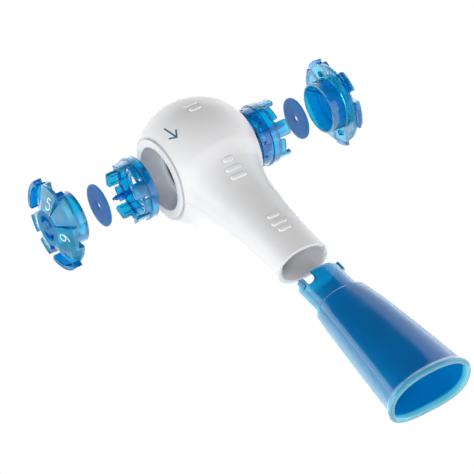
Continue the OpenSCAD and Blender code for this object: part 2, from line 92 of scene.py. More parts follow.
def to_row(points):
    """Body-frame millimetres to row-frame metres: a turn by the resting tilt about X, then a shift up and along Y."""
    c, s = math.cos(TILT), math.sin(TILT)
    x, y, z = np.asarray(points, float).T
    return np.column_stack([x, PLACE_Y + c * y - s * z, BULB_R + s * y + c * z]) * MM


def port_place(points, side, stand):
    """Port-frame millimetres, +Z out of the port, to the body frame: the axis turns on to -X or +X and moves out."""
    x, y, z = np.asarray(points, float).T
    return np.column_stack([side * (z + stand), y, -side * x])


def polar(r, t, *height):
    """Points at radius r and angle t, with a height where one is given."""
    return np.stack(np.broadcast_arrays(r * np.cos(t), r * np.sin(t), *height), axis=-1)


def turned(points, angle, first=0, second=1):
    """Points turned by an angle from the first axis towards the second."""
    c, s = math.cos(angle), math.sin(angle)
    out = np.array(points, float)
    out[..., first] = points[..., first] * c - points[..., second] * s
    out[..., second] = points[..., first] * s + points[..., second] * c
    return out


def grid_faces(rows, cols, wrap_cols=True, wrap_rows=False):
    """Quads of a grid of rows times cols points, wrapped round in either direction."""
    r = np.arange(rows if wrap_rows else rows - 1)
    c = np.arange(cols if wrap_cols else cols - 1)
    r, c = [a.ravel() for a in np.meshgrid(r, c, indexing="ij")]
    r2, c2 = (r + 1) % rows, (c + 1) % cols
    return np.column_stack([r * cols + c, r * cols + c2, r2 * cols + c2, r2 * cols + c])


def outward(points, faces):
    """Faces turned so that the volume they enclose, summed over triangle fans, comes out positive."""
    a, b, c, d = [points[faces[:, i]] for i in range(4)]
    volume = np.einsum("ij,ij->", a, np.cross(b, c)) + np.einsum("ij,ij->", a, np.cross(c, d))
    return faces if volume > 0 else faces[:, ::-1]


def join(shapes):
    """Several shapes as one."""
    starts = np.cumsum([0] + [len(p) for p, _ in shapes])
    return np.vstack([p for p, _ in shapes]), np.vstack([f + n for (_, f), n in zip(shapes, starts)])


def capped(rings):
    """Closed surface through a stack of rings with equal numbers of points, each end a fan to its middle."""
    rings = np.asarray(rings)
    rows, count = rings.shape[:2]
    n = rows * count
    points = np.vstack([rings.reshape(-1, 3), rings[0].mean(axis=0), rings[-1].mean(axis=0)])
    k = np.arange(count)
    j = (k + 1) % count
    first, last = np.full(count, n), np.full(count, n + 1)
    low = np.column_stack([k, first, first, j])
    high = np.column_stack([n - count + j, last, last, n - count + k])
    return points, outward(points, np.vstack([grid_faces(rows, count), low, high]))


def walled(near, far, z0, z1):
    """Closed cutter between two plan curves with equal numbers of points and between two heights."""
    n = len(near)
    corners = ((near, z0), (far, z0), (far, z1), (near, z1))
    points = np.stack([np.column_stack([p, np.full(n, z)]) for p, z in corners], axis=1).reshape(-1, 3)
    ends = [[3, 2, 1, 0], [4 * n - 4, 4 * n - 3, 4 * n - 2, 4 * n - 1]]
    return points, outward(points, np.vstack([grid_faces(n, 4), ends]))


def sections(y, a, b, n, t):
    """Points (row, column) of x = a * sgn(cos t) * |cos t| ** (2 / n), z = b * sgn(sin t) * |sin t| ** (2 / n) at y."""
    x, z = [half * np.sign(w) * np.abs(w) ** (2 / n) for half, w in ((a, np.cos(t)), (b, np.sin(t)))]
    return np.stack([x, np.broadcast_to(y, x.shape), z], axis=-1)


def smooth_table(table, at):
    """Values at places between table rows, whose first column is the place, by monotone cubic pieces.

    They are Hermite curves whose slope at a row is the weighted harmonic mean of the chords on its two sides.
    """
    table = np.asarray(table, float)
    xs, rows = table[:, 0], table[:, 1:]
    h = np.diff(xs)[:, None]
    d = np.diff(rows, axis=0) / h
    w1, w2 = 2 * h[1:] + h[:-1], h[1:] + 2 * h[:-1]
    with np.errstate(divide="ignore", invalid="ignore"):
        inner = (w1 + w2) / (w1 / d[:-1] + w2 / d[1:])
    m = np.vstack([d[:1], np.where(d[:-1] * d[1:] > 0, inner, 0), d[-1:]])
    at = np.clip(np.asarray(at, float), xs[0], xs[-1])
    k = np.clip(np.searchsorted(xs, at, side="right") - 1, 0, len(xs) - 2)
    u = (at - xs[k])[:, None] / h[k]
    return (
        rows[k] * (2 * u**3 - 3 * u**2 + 1)
        + m[k] * h[k] * (u**3 - 2 * u**2 + u)
        + rows[k + 1] * (3 * u**2 - 2 * u**3)
        + m[k + 1] * h[k] * (u**3 - u**2)
    )


def soft_step(d, width):
    """1 well below d = 0 and 0 well above, smooth over a band of the given half width."""
    u = np.clip(0.5 - d / (2 * width), 0, 1)
    return u * u * (3 - 2 * u)


LONGEST_CUT = 0.45  # share of a side that a corner's rounding may take
STRAIGHT = 1.55  # half angle in radians from which a corner is left as it is


def rounded(corners, radius=None, steps=5):
    """Closed outline with each corner (x, y, radius) turned into a curve, all with one radius where it is given."""
    corners = np.asarray(corners, float)
    pts = corners[:, :2]
    radii = corners[:, 2] if radius is None else np.full(len(pts), radius)
    out = []
    for i, p in enumerate(pts):
        a, b = pts[i - 1] - p, pts[(i + 1) % len(pts)] - p
        la, lb = np.linalg.norm(a), np.linalg.norm(b)
        a, b = a / la, b / lb
        half = math.acos(max(-1.0, min(1.0, float(a @ b)))) / 2
        if radii[i] <= 0 or half > STRAIGHT:
            out.append(p[None, :])
            continue
        cut_off = min(radii[i] / math.tan(half), LONGEST_CUT * la, LONGEST_CUT * lb)
        u = np.linspace(0, 1, steps)[:, None]
        out.append((1 - u) ** 2 * (p + a * cut_off) + 2 * u * (1 - u) * p + u**2 * (p + b * cut_off))
    return np.vstack(out)


def revolve(outline, count=160):
    """Closed outline of (radius, height) carried round the Z axis."""
    points = polar(outline[:, 0:1], np.arange(count) / count * TAU, outline[:, 1:2]).reshape(-1, 3)
    return points, outward(points, grid_faces(len(outline), count, True, True))


def drill(r, x, y, z0, z1, count=32):
    """Round cutter along Z."""
    points, faces = revolve(np.array([[1e-4, z0], [r, z0], [r, z1], [1e-4, z1]]), count)
    return points + [x, y, 0], faces


def bent_block(r0, r1, deg0, deg1, z0, z1, edge, top=0.0, rows=14, across=18):
    """Block bent round Z: a rounded rectangle in (arc, radius), carried up in height.

    A distance d into the rounded edge at either end the outline is smaller by edge - sqrt(edge^2 - d^2), and inside the
    top corner the half width also loses top - sqrt(top^2 - (z - z1 + top)^2).
    """
    mid, half = math.radians((deg0 + deg1) / 2), math.radians((deg1 - deg0) / 2)
    mean_r, thick = (r0 + r1) / 2, (r1 - r0) / 2
    wide = half * mean_r
    corner = rounded([[-wide, -thick], [wide, -thick], [wide, thick], [-wide, thick]], edge, 4)
    ring = []
    for p, q in zip(corner, np.roll(corner, -1, axis=0)):
        n = max(1, int(abs(q[0] - p[0]) / (2 * wide) * across))
        ring.append(p + (q - p) * (np.arange(n) / n)[:, None])
    ring = np.vstack(ring)
    ease = np.array([0, 0.35, 1.0])
    body = z0 + edge + (z1 - z0 - 2 * edge) * np.linspace(0, 1, rows)[1:]
    z = np.concatenate([z0 + edge * ease, body, z1 - edge * (1 - ease[1:])])
    into = np.clip(edge - np.minimum(z - z0, z1 - z), 0, edge)
    shrink = edge - np.sqrt(np.maximum(edge**2 - into**2, 0))
    rise = np.clip(z - (z1 - top), 0, top)
    inset = top - np.sqrt(np.maximum(top**2 - rise**2, 0))
    arc_at = ring[None, :, 0] * ((wide - shrink - inset) / wide)[:, None]
    r = mean_r + ring[None, :, 1] * ((thick - shrink) / thick)[:, None]
    return capped(polar(r, mid + arc_at / mean_r, z[:, None]))


# ---------------------------------------------------------------- meshes


def make_mesh(name, points, faces):
    """Mesh of quads, with a face that repeats a corner made a triangle."""
    mesh = bpy.data.meshes.new(name)
    rows = [tuple(dict.fromkeys(f)) for f in faces.tolist()]
    mesh.from_pydata(points.tolist(), [], [f for f in rows if len(f) > 2])
    mesh.validate()
    mesh.update()
    return mesh


def make_object(name, points, faces):
    obj = bpy.data.objects.new(name, make_mesh(name, points, faces))
    bpy.context.scene.collection.objects.link(obj)
    return obj


def cut(obj, cutters):
    """The object less each closed cutter shape, by Blender's exact solver, applied at once."""
    for i, (points, faces) in enumerate(cutters):
        tool = make_object(f"{obj.name}_cutter_{i}", points, faces)
        mod = obj.modifiers.new("cut", "BOOLEAN")
        mod.operation = "DIFFERENCE"
        mod.solver = "EXACT"
        mod.object = tool
        with bpy.context.temp_override(object=obj, active_object=obj, selected_objects=[obj]):
            bpy.ops.object.modifier_apply(modifier=mod.name)
        mesh = tool.data
        bpy.data.objects.remove(tool)
        bpy.data.meshes.remove(mesh)


def attach(obj, shapes):
    """More closed shapes in the same mesh, added after the cuts so that the solver only sees one clean shell."""
    extra = make_mesh("extra", *join(shapes))
    bm = bmesh.new()
    bm.from_mesh(obj.data)
    bm.from_mesh(extra)
    bm.to_mesh(obj.data)
    bm.free()
    bpy.data.meshes.remove(extra)


def face_outwards(obj, weld=0.0):
    """Each closed shell's normals turned outwards, once points closer than weld are merged."""
    bm = bmesh.new()
    bm.from_mesh(obj.data)
    if weld:
        bmesh.ops.remove_doubles(bm, verts=bm.verts, dist=weld)
        bmesh.ops.dissolve_degenerate(bm, edges=bm.edges, dist=weld)
    bmesh.ops.recalc_face_normals(bm, faces=bm.faces)
    bm.to_mesh(obj.data)
    bm.free()


def points_of(mesh):
    points = np.empty(len(mesh.vertices) * 3)
    mesh.vertices.foreach_get("co", points)
    return points.reshape(-1, 3)


def place_in_row(obj, rule=lambda p: p):
    """A piece made in millimetres gets its row-frame metres; the rule takes its points to the body frame first."""
    obj.data.vertices.foreach_set("co", to_row(rule(points_of(obj.data))).ravel())
    obj.data.update()


def set_depth(obj, rule):
    """The depth attribute: how many walls' worth of plastic tint each point, with painted shade and highlight mixed in
    on some pieces, or how much painted shade darkens the housing there.

    The rule takes the piece's own points in millimetres, before it is placed.
    """
    layer = obj.data.attributes.new("depth", "FLOAT", "POINT")
    layer.data.foreach_set("value", np.asarray(rule(points_of(obj.data)), dtype=np.float32))


def finish_piece(obj, material, body, nodes=(), sharp=35):
    """Smooth shading that breaks at sharp edges, the finish, and the body that the piece rides on."""
    mesh = obj.data
    mesh.materials.clear()
    mesh.materials.append(finish(material))
    mesh.shade_smooth()
    mesh.set_sharp_from_angle(angle=math.radians(sharp))
    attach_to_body(obj, body)
    if nodes:
        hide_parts(*nodes)


def add_port_piece(name, shapes, side, stand, material, body, nodes=(), depth=None, cutters=(), extra=(), sharp=35):
    """A piece made in the port frame: cut, joined by its further shapes, turned on to its side and placed."""
    obj = make_object(name, *join(shapes))
    cut(obj, cutters)
    if extra:
        attach(obj, extra)
    if depth:
        set_depth(obj, depth)
    place_in_row(obj, lambda p: port_place(p, side, stand))
    finish_piece(obj, material, body, nodes, sharp)
    return obj


# ---------------------------------------------------------------- settings


def length(name, description, default, low, high):
    return FloatProperty(name=name, description=description + " in millimetres", default=default, min=low, max=high)


def colour(name, description, default):
    return FloatVectorProperty(name=name, description=description, subtype="COLOR", size=3, default=default)


class TrainerSizes(bpy.types.PropertyGroup):
    """Sizes of the details that the solids don't carry."""

    grip_height: length("Grip rib height", "Height of the raised grip ribs", 0.6, 0.2, 0.9)
    grip_length: length("Grip rib length", "Length of a grip rib across the handle", 7.4, 4, 9)
    grip_width: length("Grip rib width", "Width of a grip rib along the handle", 2.4, 1.5, 3)
    numeral_height: length("Numeral height", "Height of the numerals on the dials", 5.4, 2, 6)
    numeral_stroke: length("Numeral stroke", "Width of the strokes of the numerals", 0.46, 0.2, 0.8)
    edge_round: length("Edge rounding", "Radius of the moulded edges", 0.3, 0.1, 0.6)


class TrainerColours(bpy.types.PropertyGroup):
    """Colours of the finishes."""

    housing: colour("Housing", "Satin white of the housing", (0.80, 0.80, 0.81))
    plastic: colour("Blue plastic", "Blue of the see-through mouthpiece", (0.005, 0.37, 0.74))
    thin: colour("Thin blue plastic", "Lighter tint of the thin-walled small pieces", (0.014, 0.58, 0.94))
    disc: colour("Valve disc", "Mid blue of the flexible discs", (0.035, 0.23, 0.60))
    print: colour("Print", "Dark teal grey of the printed arrow", (0.03, 0.13, 0.20))
    numeral: colour("Numerals", "White of the numerals", (0.9, 0.92, 0.94))


# ---------------------------------------------------------------- finishes

CLOUD_RANGE = (0.3, 0.7)  # noise levels at which a mottled colour reaches its two ends


def set_inputs(tree, node, inputs):
    """Each input linked to the socket it is given, or set to the value."""
    for key, value in inputs.items():
        if isinstance(value, bpy.types.NodeSocket):
            tree.links.new(value, node.inputs[key])
        else:
            node.inputs[key].default_value = value


def add_node(tree, kind, inputs=None, **settings):
    """Node with its settings and inputs. A mix repeats its inputs' names, so its go by number: 0 is the factor."""
    node = tree.nodes.new("ShaderNode" + kind)
    for key, value in settings.items():
        setattr(node, key, value)
    set_inputs(tree, node, inputs or {})
    return node


def new_material(name):
    mat = bpy.data.materials.new(name)
    mat.use_nodes = True
    return mat, mat.node_tree, mat.node_tree.nodes["Principled BSDF"]


def noise(tree, scale, detail=4.0):
    place = add_node(tree, "TexCoord").outputs["Object"]
    inputs = {"Vector": place, "Scale": scale, "Detail": detail, "Roughness": 0.55}
    return add_node(tree, "TexNoise", inputs).outputs["Fac"]


def mottled(tree, scale, low, high, detail=4.0):
    """Colours from low to high in soft clouds laid on the object's own coordinates."""
    node = add_node(tree, "ValToRGB", {"Fac": noise(tree, scale, detail)})
    for element, place, end in zip(node.color_ramp.elements, CLOUD_RANGE, (low, high)):
        element.position = place
        element.color = end
    return node.outputs["Color"]


def grain(tree, scale, strength, distance):
    """Normal of a fine bumpy skin, with its depth in metres."""
    inputs = {"Height": noise(tree, scale, 2.0), "Strength": strength, "Distance": distance}
    return add_node(tree, "Bump", inputs).outputs["Normal"]


def depth_of(tree):
    return add_node(tree, "Attribute", attribute_name="depth").outputs["Fac"]


def grey(v):
    return (v, v, v, 1.0)


def shade(c, k):
    return (min(c[0] * k, 1), min(c[1] * k, 1), min(c[2] * k, 1), 1.0)


def housing_white(c):
    """Satin white: faint clouds in the colour, roughness that varies, a very fine grain, and painted shade inside the
    ball.
    """
    mat, tree, shader = new_material("housing_white")
    skin = mottled(tree, 60.0, shade(c, 0.985), shade(c, 1.015))
    # painted shade: inside the ball the white drops to 0.3 of itself
    painted_shade_mix = add_node(tree, "Mix", {0: depth_of(tree), 6: skin, 7: shade(c, 0.3)}, data_type="RGBA")
    set_inputs(tree, shader, {
        "Base Color": painted_shade_mix.outputs[2],
        "Roughness": mottled(tree, 240.0, grey(0.36), grey(0.44)),
        "Specular IOR Level": 0.45,
        "Subsurface Weight": 0.12,
        "Subsurface Radius": (1.0, 0.9, 0.85),
        "Subsurface Scale": 0.0012,
        "Normal": grain(tree, 5200.0, 0.12, 0.00004),
    })
    return mat


def tinted(name, c, pigment, shine):
    """Glossy tinted plastic of colour ^ depth, so thin rims come out cyan and stacked walls deep blue; where depth
    carries painted shade the plastic is darker, and where it carries painted highlight paler.

    A share of pigment scatters light under the skin; flow clouds vary the tint, and a faint ripple varies the gloss.
    """
    mat, tree, shader = new_material(name)
    flow = mottled(tree, 45.0, shade(c, 0.93), shade(c, 1.05), 3.0)
    tint = add_node(tree, "Gamma", {"Color": flow, "Gamma": depth_of(tree)})
    set_inputs(tree, shader, {
        "Base Color": tint.outputs["Color"],
        "Roughness": mottled(tree, 160.0, grey(0.07), grey(0.12)),
        "IOR": 1.5,
        "Specular IOR Level": shine,
        "Transmission Weight": 1 - pigment,
        "Subsurface Weight": 0.5,
        "Subsurface Radius": (0.1, 0.6, 1.0),
        "Subsurface Scale": 0.003,
        "Normal": grain(tree, 300.0, 0.05, 0.00005),
    })
    return mat


def matte(name, c, scale, spread, rough, more=None):
    """Matte finish with faint clouds in its colour, and further inputs where more gives them."""
    mat, tree, shader = new_material(name)
    low, high = spread
    clouds = mottled(tree, scale, shade(c, low), shade(c, high))
    set_inputs(tree, shader, {"Base Color": clouds, "Roughness": rough})
    if more:
        set_inputs(tree, shader, more(tree))
    return mat


def soft_skin(tree):
    return {"Specular IOR Level": 0.2, "Normal": grain(tree, 2600.0, 0.15, 0.00005)}


MAKERS = {
    "housing_white": lambda c: housing_white(c.housing),
    "clear_blue": lambda c: tinted("clear_blue", c.plastic, 0.4, 0.5),
    "thin_blue": lambda c: tinted("thin_blue", c.thin, 0.2, 0.32),
    "disc_blue": lambda c: matte("disc_blue", c.disc, 420.0, (0.94, 1.06), 0.5, soft_skin),
    "numeral_white": lambda c: matte("numeral_white", c.numeral, 900.0, (0.94, 1.05), 0.45),
    "print_teal": lambda c: matte("print_teal", c.print, 900.0, (0.94, 1.05), 0.5),
}
FINISHES = {}


def finish(name):
    """Each finish is made once, when a piece first asks for it."""
    if name not in FINISHES:
        FINISHES[name] = MAKERS[name](bpy.context.scene.trainer_colours)
    return FINISHES[name]


# ---------------------------------------------------------------- housing

# share of the neck length, of the rim half width and of the rim half depth
NECK_TABLE = np.array([
    [0.245, 1.6, 2.17], [0.275, 1.49, 1.95], [0.31, 1.415, 1.78], [0.35, 1.345, 1.62],
    [0.40, 1.27, 1.48], [0.46, 1.205, 1.37], [0.54, 1.145, 1.28], [0.64, 1.075, 1.19],
    [0.75, 1.035, 1.13], [0.87, 1.012, 1.06], [1, 1, 1]])
# place along the handle, and the wall across and front to back
WALL_TABLE = np.array([
    [-NECK_LEN, NECK_WALL_A, NECK_WALL_B], [-40, 2.0, 1.9], [-20, 2.1, 2.1],
    [-5, BULB_WALL, BULB_WALL], [BULB_R, BULB_WALL, BULB_WALL]])
NECK_POWER = 2.2
POWER_FROM, POWER_RUN = -12, 20  # where the round section starts to flatten, and over what length
LIP_ROUND = 0.45
LIP_SHARES = (0.12, 0.35, 0.65, 0.88)
LIP_RUN = 4
BALL_TO = 124  # degrees of the ball's outline before the neck takes over
HOUSING_ROWS = 480
HOUSING_COLS = 96
WELD = 1e-4
# where the painted shade inside the ball starts and fades
HOLLOW_R, HOLLOW_FADE = BULB_R - 1.4, 0.4
HOLLOW_FROM, HOLLOW_RUN = -26, 6
# place along the front line, in degrees on the ball or as a share of the neck, and length share
GRIP_RIBS = (
    ("ball", 6, 0.8), ("ball", 14.5, 1.0),
    ("neck", 0.285, 0.72), ("neck", 0.335, 1.05), ("neck", 0.385, 1.05),
    ("neck", 0.715, 0.8), ("neck", 0.77, 1.05), ("neck", 0.822, 0.85))


def housing_outline():
    """Run along the outline, and place, half width and half depth: the ball, then the neck table, by monotone cubics.

    The last millimetres are drawn back by the height of the rounded lip.
    """
    ball = np.radians(np.linspace(0, BALL_TO, 60))
    y = np.concatenate([BULB_R * np.cos(ball), -NECK_TABLE[:, 0] * NECK_LEN])
    a = np.concatenate([BULB_R * np.sin(ball), NECK_TABLE[:, 1] * NECK_A])
    b = np.concatenate([BULB_R * np.sin(ball), NECK_TABLE[:, 2] * NECK_B])
    run = np.concatenate([[0], np.cumsum(np.hypot(np.diff(y), np.diff((a + b) / 2)))])
    at = np.linspace(0, run[-1], HOUSING_ROWS)
    table = smooth_table(np.column_stack([run, y, a, b]), at)
    table[:, 0] += LIP_ROUND * np.clip((-table[:, 0] - NECK_LEN + LIP_RUN) / LIP_RUN, 0, 1)
    return at, table


def grip_lift(outer, at, y, sizes):
    """How far the outer skin moves along its normal, in rib heights.

    A rib is sqrt(1 - q^4), where q is the distance to its middle line over its half width, and a faint groove,
    -0.25 * exp(-((q - 1.15) / 0.15)^2), runs round its foot.
    """
    lift = np.zeros(outer.shape[:2])
    for kind, where, share in GRIP_RIBS:
        place = BULB_R * math.sin(math.radians(where)) if kind == "ball" else -where * NECK_LEN
        row_at = np.interp(-place, -y, at)
        reach = (sizes.grip_length * share - sizes.grip_width) / 2
        past = np.maximum(np.abs(outer[..., 0]) - reach, 0)
        q = np.hypot(past, (at - row_at)[:, None]) / (sizes.grip_width / 2)
        rib = np.sqrt(np.maximum(1 - q**4, 0)) - 0.25 * np.exp(-(((q - 1.15) / 0.15) ** 2))
        lift = np.where(np.abs(rib) > np.abs(lift), rib, lift)
    return lift


def raised(outer, at, y):
    """The front skin with its grip ribs."""
    sizes = bpy.context.scene.trainer_sizes
    normal = np.cross(np.gradient(outer, axis=0), np.gradient(outer, axis=1))
    normal /= np.maximum(np.linalg.norm(normal, axis=-1, keepdims=True), 1e-9)
    # the place itself, with little weight along the handle, points outwards everywhere on the skin
    flip = np.sign(np.sum(normal * (outer * [1, 0.2, 1]), axis=-1, keepdims=True))
    normal *= np.where(flip == 0, 1, flip)
    lift = grip_lift(outer, at, y, sizes) * sizes.grip_height * (outer[..., 2] > 0)
    return outer + normal * lift[..., None]


def housing_half(up):
    """Half shell: outer and inner sections on one loop of rows, over half a turn, with the seam faces closing it."""
    at, table = housing_outline()
    y, a, b = [table[:, i : i + 1] for i in range(3)]
    u = np.linspace(-1, 1, HOUSING_COLS)
    t = np.radians(90 + 90 * (0.3 * u + 0.7 * u**3))
    flat = np.clip((POWER_FROM - y) / POWER_RUN, 0, 1)
    power = 2.0 + (NECK_POWER - 2) * flat
    outer = sections(y, a, b, power, t)
    if up:
        outer = raised(outer, at, table[:, 0])
    wall_a, wall_b = np.hsplit(smooth_table(WALL_TABLE, table[:, 0]), 2)
    inner_y = np.where(y > 0, y * (1 - BULB_WALL / BULB_R), y)
    inner = sections(inner_y, np.maximum(a - wall_a, 0.001), np.maximum(b - wall_b, 0.001), power, t)
    lip = [outer[-1] * (1 - k) + inner[-1] * k - [0, LIP_ROUND * math.sin(math.pi * k), 0] for k in LIP_SHARES]
    rows = np.concatenate([outer, np.array(lip), inner[::-1]])
    rows[..., 2] = np.maximum(rows[..., 2], SEAM_HALF)
    if not up:
        rows[..., 2] *= -1
    n, m = rows.shape[:2]
    points = rows.reshape(-1, 3)
    k = np.arange(HOUSING_ROWS - 1)
    far = n - 1 - k
    seam = np.column_stack([k, k + 1, far - 1, far]) * m
    start = HOUSING_ROWS - 1
    fan = np.array([[start, i, i + 1, i + 1] for i in range(start + 1, n - HOUSING_ROWS)]) * m
    faces = [grid_faces(n, m, False, True)]
    for quads in (seam, fan):
        faces += [quads[:, ::-1], quads + m - 1]
    return points, outward(points, np.vstack(faces))


def port_cutter(side):
    """Everything outside the flat port face, and the round hole behind it, turned about the port axis."""
    floor, outside, bevel = 4.0, 45.0, 0.35
    outline = np.array([
        [0.001, floor], [PORT_HOLE_R, floor], [PORT_HOLE_R, PORT_FACE - bevel], [PORT_HOLE_R + bevel, PORT_FACE],
        [outside, PORT_FACE], [outside, outside], [0.001, outside]])
    points, faces = revolve(outline, 200)
    return port_place(points, side, 0.0), faces


def painted_shade_inside_ball(p):
    """1 on the skin inside the ball, where shade is painted into the colour, and 0 outside and down the neck."""
    inside = np.clip((HOLLOW_R - np.linalg.norm(p, axis=1)) / HOLLOW_FADE, 0, 1)
    return inside * np.clip((p[:, 1] - HOLLOW_FROM) / HOLLOW_RUN, 0, 1)


class TRAINER_OT_housing(bpy.types.Operator):
    """Make the two white shells of the housing with their grip ribs and port openings"""

    bl_idname = "trainer.housing"
    bl_label = "Housing"

    def execute(self, context):
        for half, up in (("front", True), ("back", False)):
            obj = make_object(f"housing_{half}", *housing_half(up))
            face_outwards(obj, WELD)
            cut(obj, [port_cutter(-1), port_cutter(1)] + ([nub_groove(-1), nub_groove(1)] if up else []))
            set_depth(obj, painted_shade_inside_ball)
            place_in_row(obj)
            finish_piece(obj, "housing_white", "housing", [f"shell_{half}"])
        return {"FINISHED"}


# ---------------------------------------------------------------- port rings, discs and sleeves

# profiles are corners of (radius, height, rounding)
LEDGE_R = {"inhale": 13.2, "exhale": 14.2}
LEDGE_Z, LEDGE_TOP = 10.3, 11.4
RING_BORE_R, RING_BODY_R, RING_LIP_R = 15.0, 17.2, 18.75
RING_SEAT, RING_TOP = PORT_FACE + 0.05, 21.85
DISC_PROFILE = (
    (1.35, 0.12, 0.1), (2.6, 0.12, 0), (2.9, 0.0, 0.1), (9.0, 0.0, 0.2), (10.0, 0.1, 0.2),
    (10.0, 0.9, 0.2), (9.0, 1.0, 0.2), (2.9, 1.0, 0.1), (2.6, 0.88, 0), (1.35, 0.88, 0.1))
SLEEVE_PROFILE = (
    (11.1, -6.6, 0.35), (12.2, -6.6, 0.4), (12.2, 2.65, 0.25), (7.6, 2.65, 0.2), (7.6, 5.85, 0.2),
    (AXIS, 5.85, 0), (AXIS, 4.75, 0), (6.5, 4.75, 0.3), (6.5, 1.55, 0.3), (11.1, 1.55, 0.5))
# the inhale sleeve's flat ring inside its open end
SLEEVE_FLOOR = ((8.8, -6.55), (11.6, -6.55), (11.6, -5.83), (8.8, -5.83))
VENT_R = 4.75
VENT_W = 2.3
AIR_HOLES = {"inhale": 6, "exhale": 5}
AIR_TURN = 300  # degrees that the holes are shared over
AIR_SHARES = (0.18, 0.46)  # radius of the first and the last hole over the vents' width
AIR_SPAN = (4.0, 7.0)


class TRAINER_OT_port_rings(bpy.types.Operator):
    """Make the stepped rings with rounded lips in the two ports"""

    bl_idname = "trainer.port_rings"
    bl_label = "Port rings"

    def execute(self, context):
        for name, side in SIDES:
            ledge = LEDGE_R[name]
            outline = rounded([
                (ledge, LEDGE_Z, 0.25), (RING_BODY_R, LEDGE_Z, 0.3), (RING_BODY_R, RING_SEAT, 0.05),
                (RING_LIP_R, RING_SEAT, 0.3), (RING_LIP_R, RING_TOP, 0.55), (RING_BORE_R, RING_TOP, 0.6),
                (RING_BORE_R, LEDGE_TOP, 0.15), (ledge, LEDGE_TOP, 0.25)])
            add_port_piece(
                f"port_lip_{name}", [revolve(outline)], side, 0.0, "housing_white", "housing", [f"port_ring_{name}"])
        return {"FINISHED"}


class TRAINER_OT_discs(bpy.types.Operator):
    """Make the two flexible valve discs with their rims and centre holes"""

    bl_idname = "trainer.discs"
    bl_label = "Valve discs"

    def execute(self, context):
        for name, side in SIDES:
            shapes = [revolve(rounded(DISC_PROFILE))]
            add_port_piece(
                f"valve_disc_{name}", shapes, side, DISC_STAND, "disc_blue", f"disc_{name}_body", [f"disc_{name}"])
        return {"FINISHED"}


def collar_depth(p):
    """Paler in the last millimetre of the open end, where the edge gathers light, and deeper in bore and end plate."""
    r = np.hypot(p[:, 0], p[:, 1])
    wall = np.where((r < 11.4) & (p[:, 2] < 1.6), 1.6, 1.3)
    wall = np.where((r < 7.7) & (p[:, 2] > 4.5), 2.2, wall)
    return wall - 0.9 * np.clip((-5.9 - p[:, 2]) / 0.5, 0, 1)


def air_holes(count):
    """Round holes on the vents' circle, from 0.36 to 0.92 of the vents' width across, through the end plate."""
    tools = []
    for i, share in enumerate(np.linspace(*AIR_SHARES, count)):
        t = math.radians(i * AIR_TURN / count)
        tools.append(drill(VENT_W * share, VENT_R * math.cos(t), VENT_R * math.sin(t), *AIR_SPAN))
    return tools


class TRAINER_OT_sleeves(bpy.types.Operator):
    """Make the two collars with their end plates and graded air holes"""

    bl_idname = "trainer.sleeves"
    bl_label = "Sleeves"

    def execute(self, context):
        for name, side in SIDES:
            shapes = [revolve(rounded(SLEEVE_PROFILE), 180)]
            floor = [revolve(rounded(SLEEVE_FLOOR, 0.25), 180)] if name == "inhale" else []
            add_port_piece(
                f"collar_{name}", shapes, side, DIAL_STAND, "thin_blue", f"sleeve_{name}_body", [f"sleeve_{name}"],
                collar_depth, air_holes(AIR_HOLES[name]), floor)
        return {"FINISHED"}


# ---------------------------------------------------------------- cages

FINGERS = 5
CROWN_IN, CROWN_OUT = 12.4, 14.1
SLOT_W = 1.2
FINGER_FOOT = 3.2
LOW_FINGER, HIGH_FINGER = (7.0, 0.7), (10.4, 1.1)  # height of the tip, and radius of its corners
# ribs inside a high finger: place over its half width, half width in degrees, reach out of the wall and into it
RIB_PLACE, RIB_HALF, RIB_OUT, RIB_IN = 0.55, 1.6, 0.15, 0.3
RIB_FOOT, RIB_TOP = 0.8, 9.0
RING_R, RING_H, STEP_H = 14.9, 3.6, 4.4
SKIRT_R, SKIRT_LEN = 14.05, 5.5
CAGE_TURN = {"inhale": -85, "exhale": 50}
SPOKE_REACH = {"inhale": 13.0, "exhale": 9.0}
SPOKE_HALF = 0.75
SPOKE_STEPS = ((0.0, 0.85), (0.15, 1.0), (1.0, 1.0), (1.2, 0.85))  # height, and share of the width
SEAT_PROFILE = ((8.2, 0), (9.4, 0), (9.4, 2.2), (8.2, 2.2))
POST_PROFILE = (
    (AXIS, 0, 0), (2.5, 0, 0.3), (2.5, 2.2, 0.4), (1.2, 2.6, 0.5), (1.2, 13.6, 0.2),
    (0.75, 13.8, 0.1), (0.75, 15.1, 0.3), (AXIS, 15.1, 0))
BLEED_HOLES = 12
BLEED_R = 0.8
BLEED_FROM, BLEED_TO = 11.4, 15.0
BLEED_Z = -3.85


def cage_depth(p):
    """Under one wall at the finger tips, deeper towards the ring and the seat, and deepest in the solid post."""
    post = np.hypot(p[:, 0], p[:, 1]) < 3
    return np.where(post, 2.3, 1.5 - 0.7 * np.clip(p[:, 2] / 10, 0, 1))


def cage_ring(side, edge):
    foot = [(CROWN_IN, 0.0, edge), (RING_R, 0.0, 0.45)]
    if side > 0:
        foot = [(CROWN_IN, -SKIRT_LEN, 0.5), (SKIRT_R, -SKIRT_LEN, 0.5), (SKIRT_R, 0.0, 0.1), (RING_R, 0.0, 0.4)]
    steps = [(RING_R, RING_H, 0.35), (CROWN_OUT, RING_H, 0.15), (CROWN_OUT, STEP_H, 0.1), (CROWN_IN, STEP_H, 0.1)]
    return revolve(rounded(foot + steps), 180)


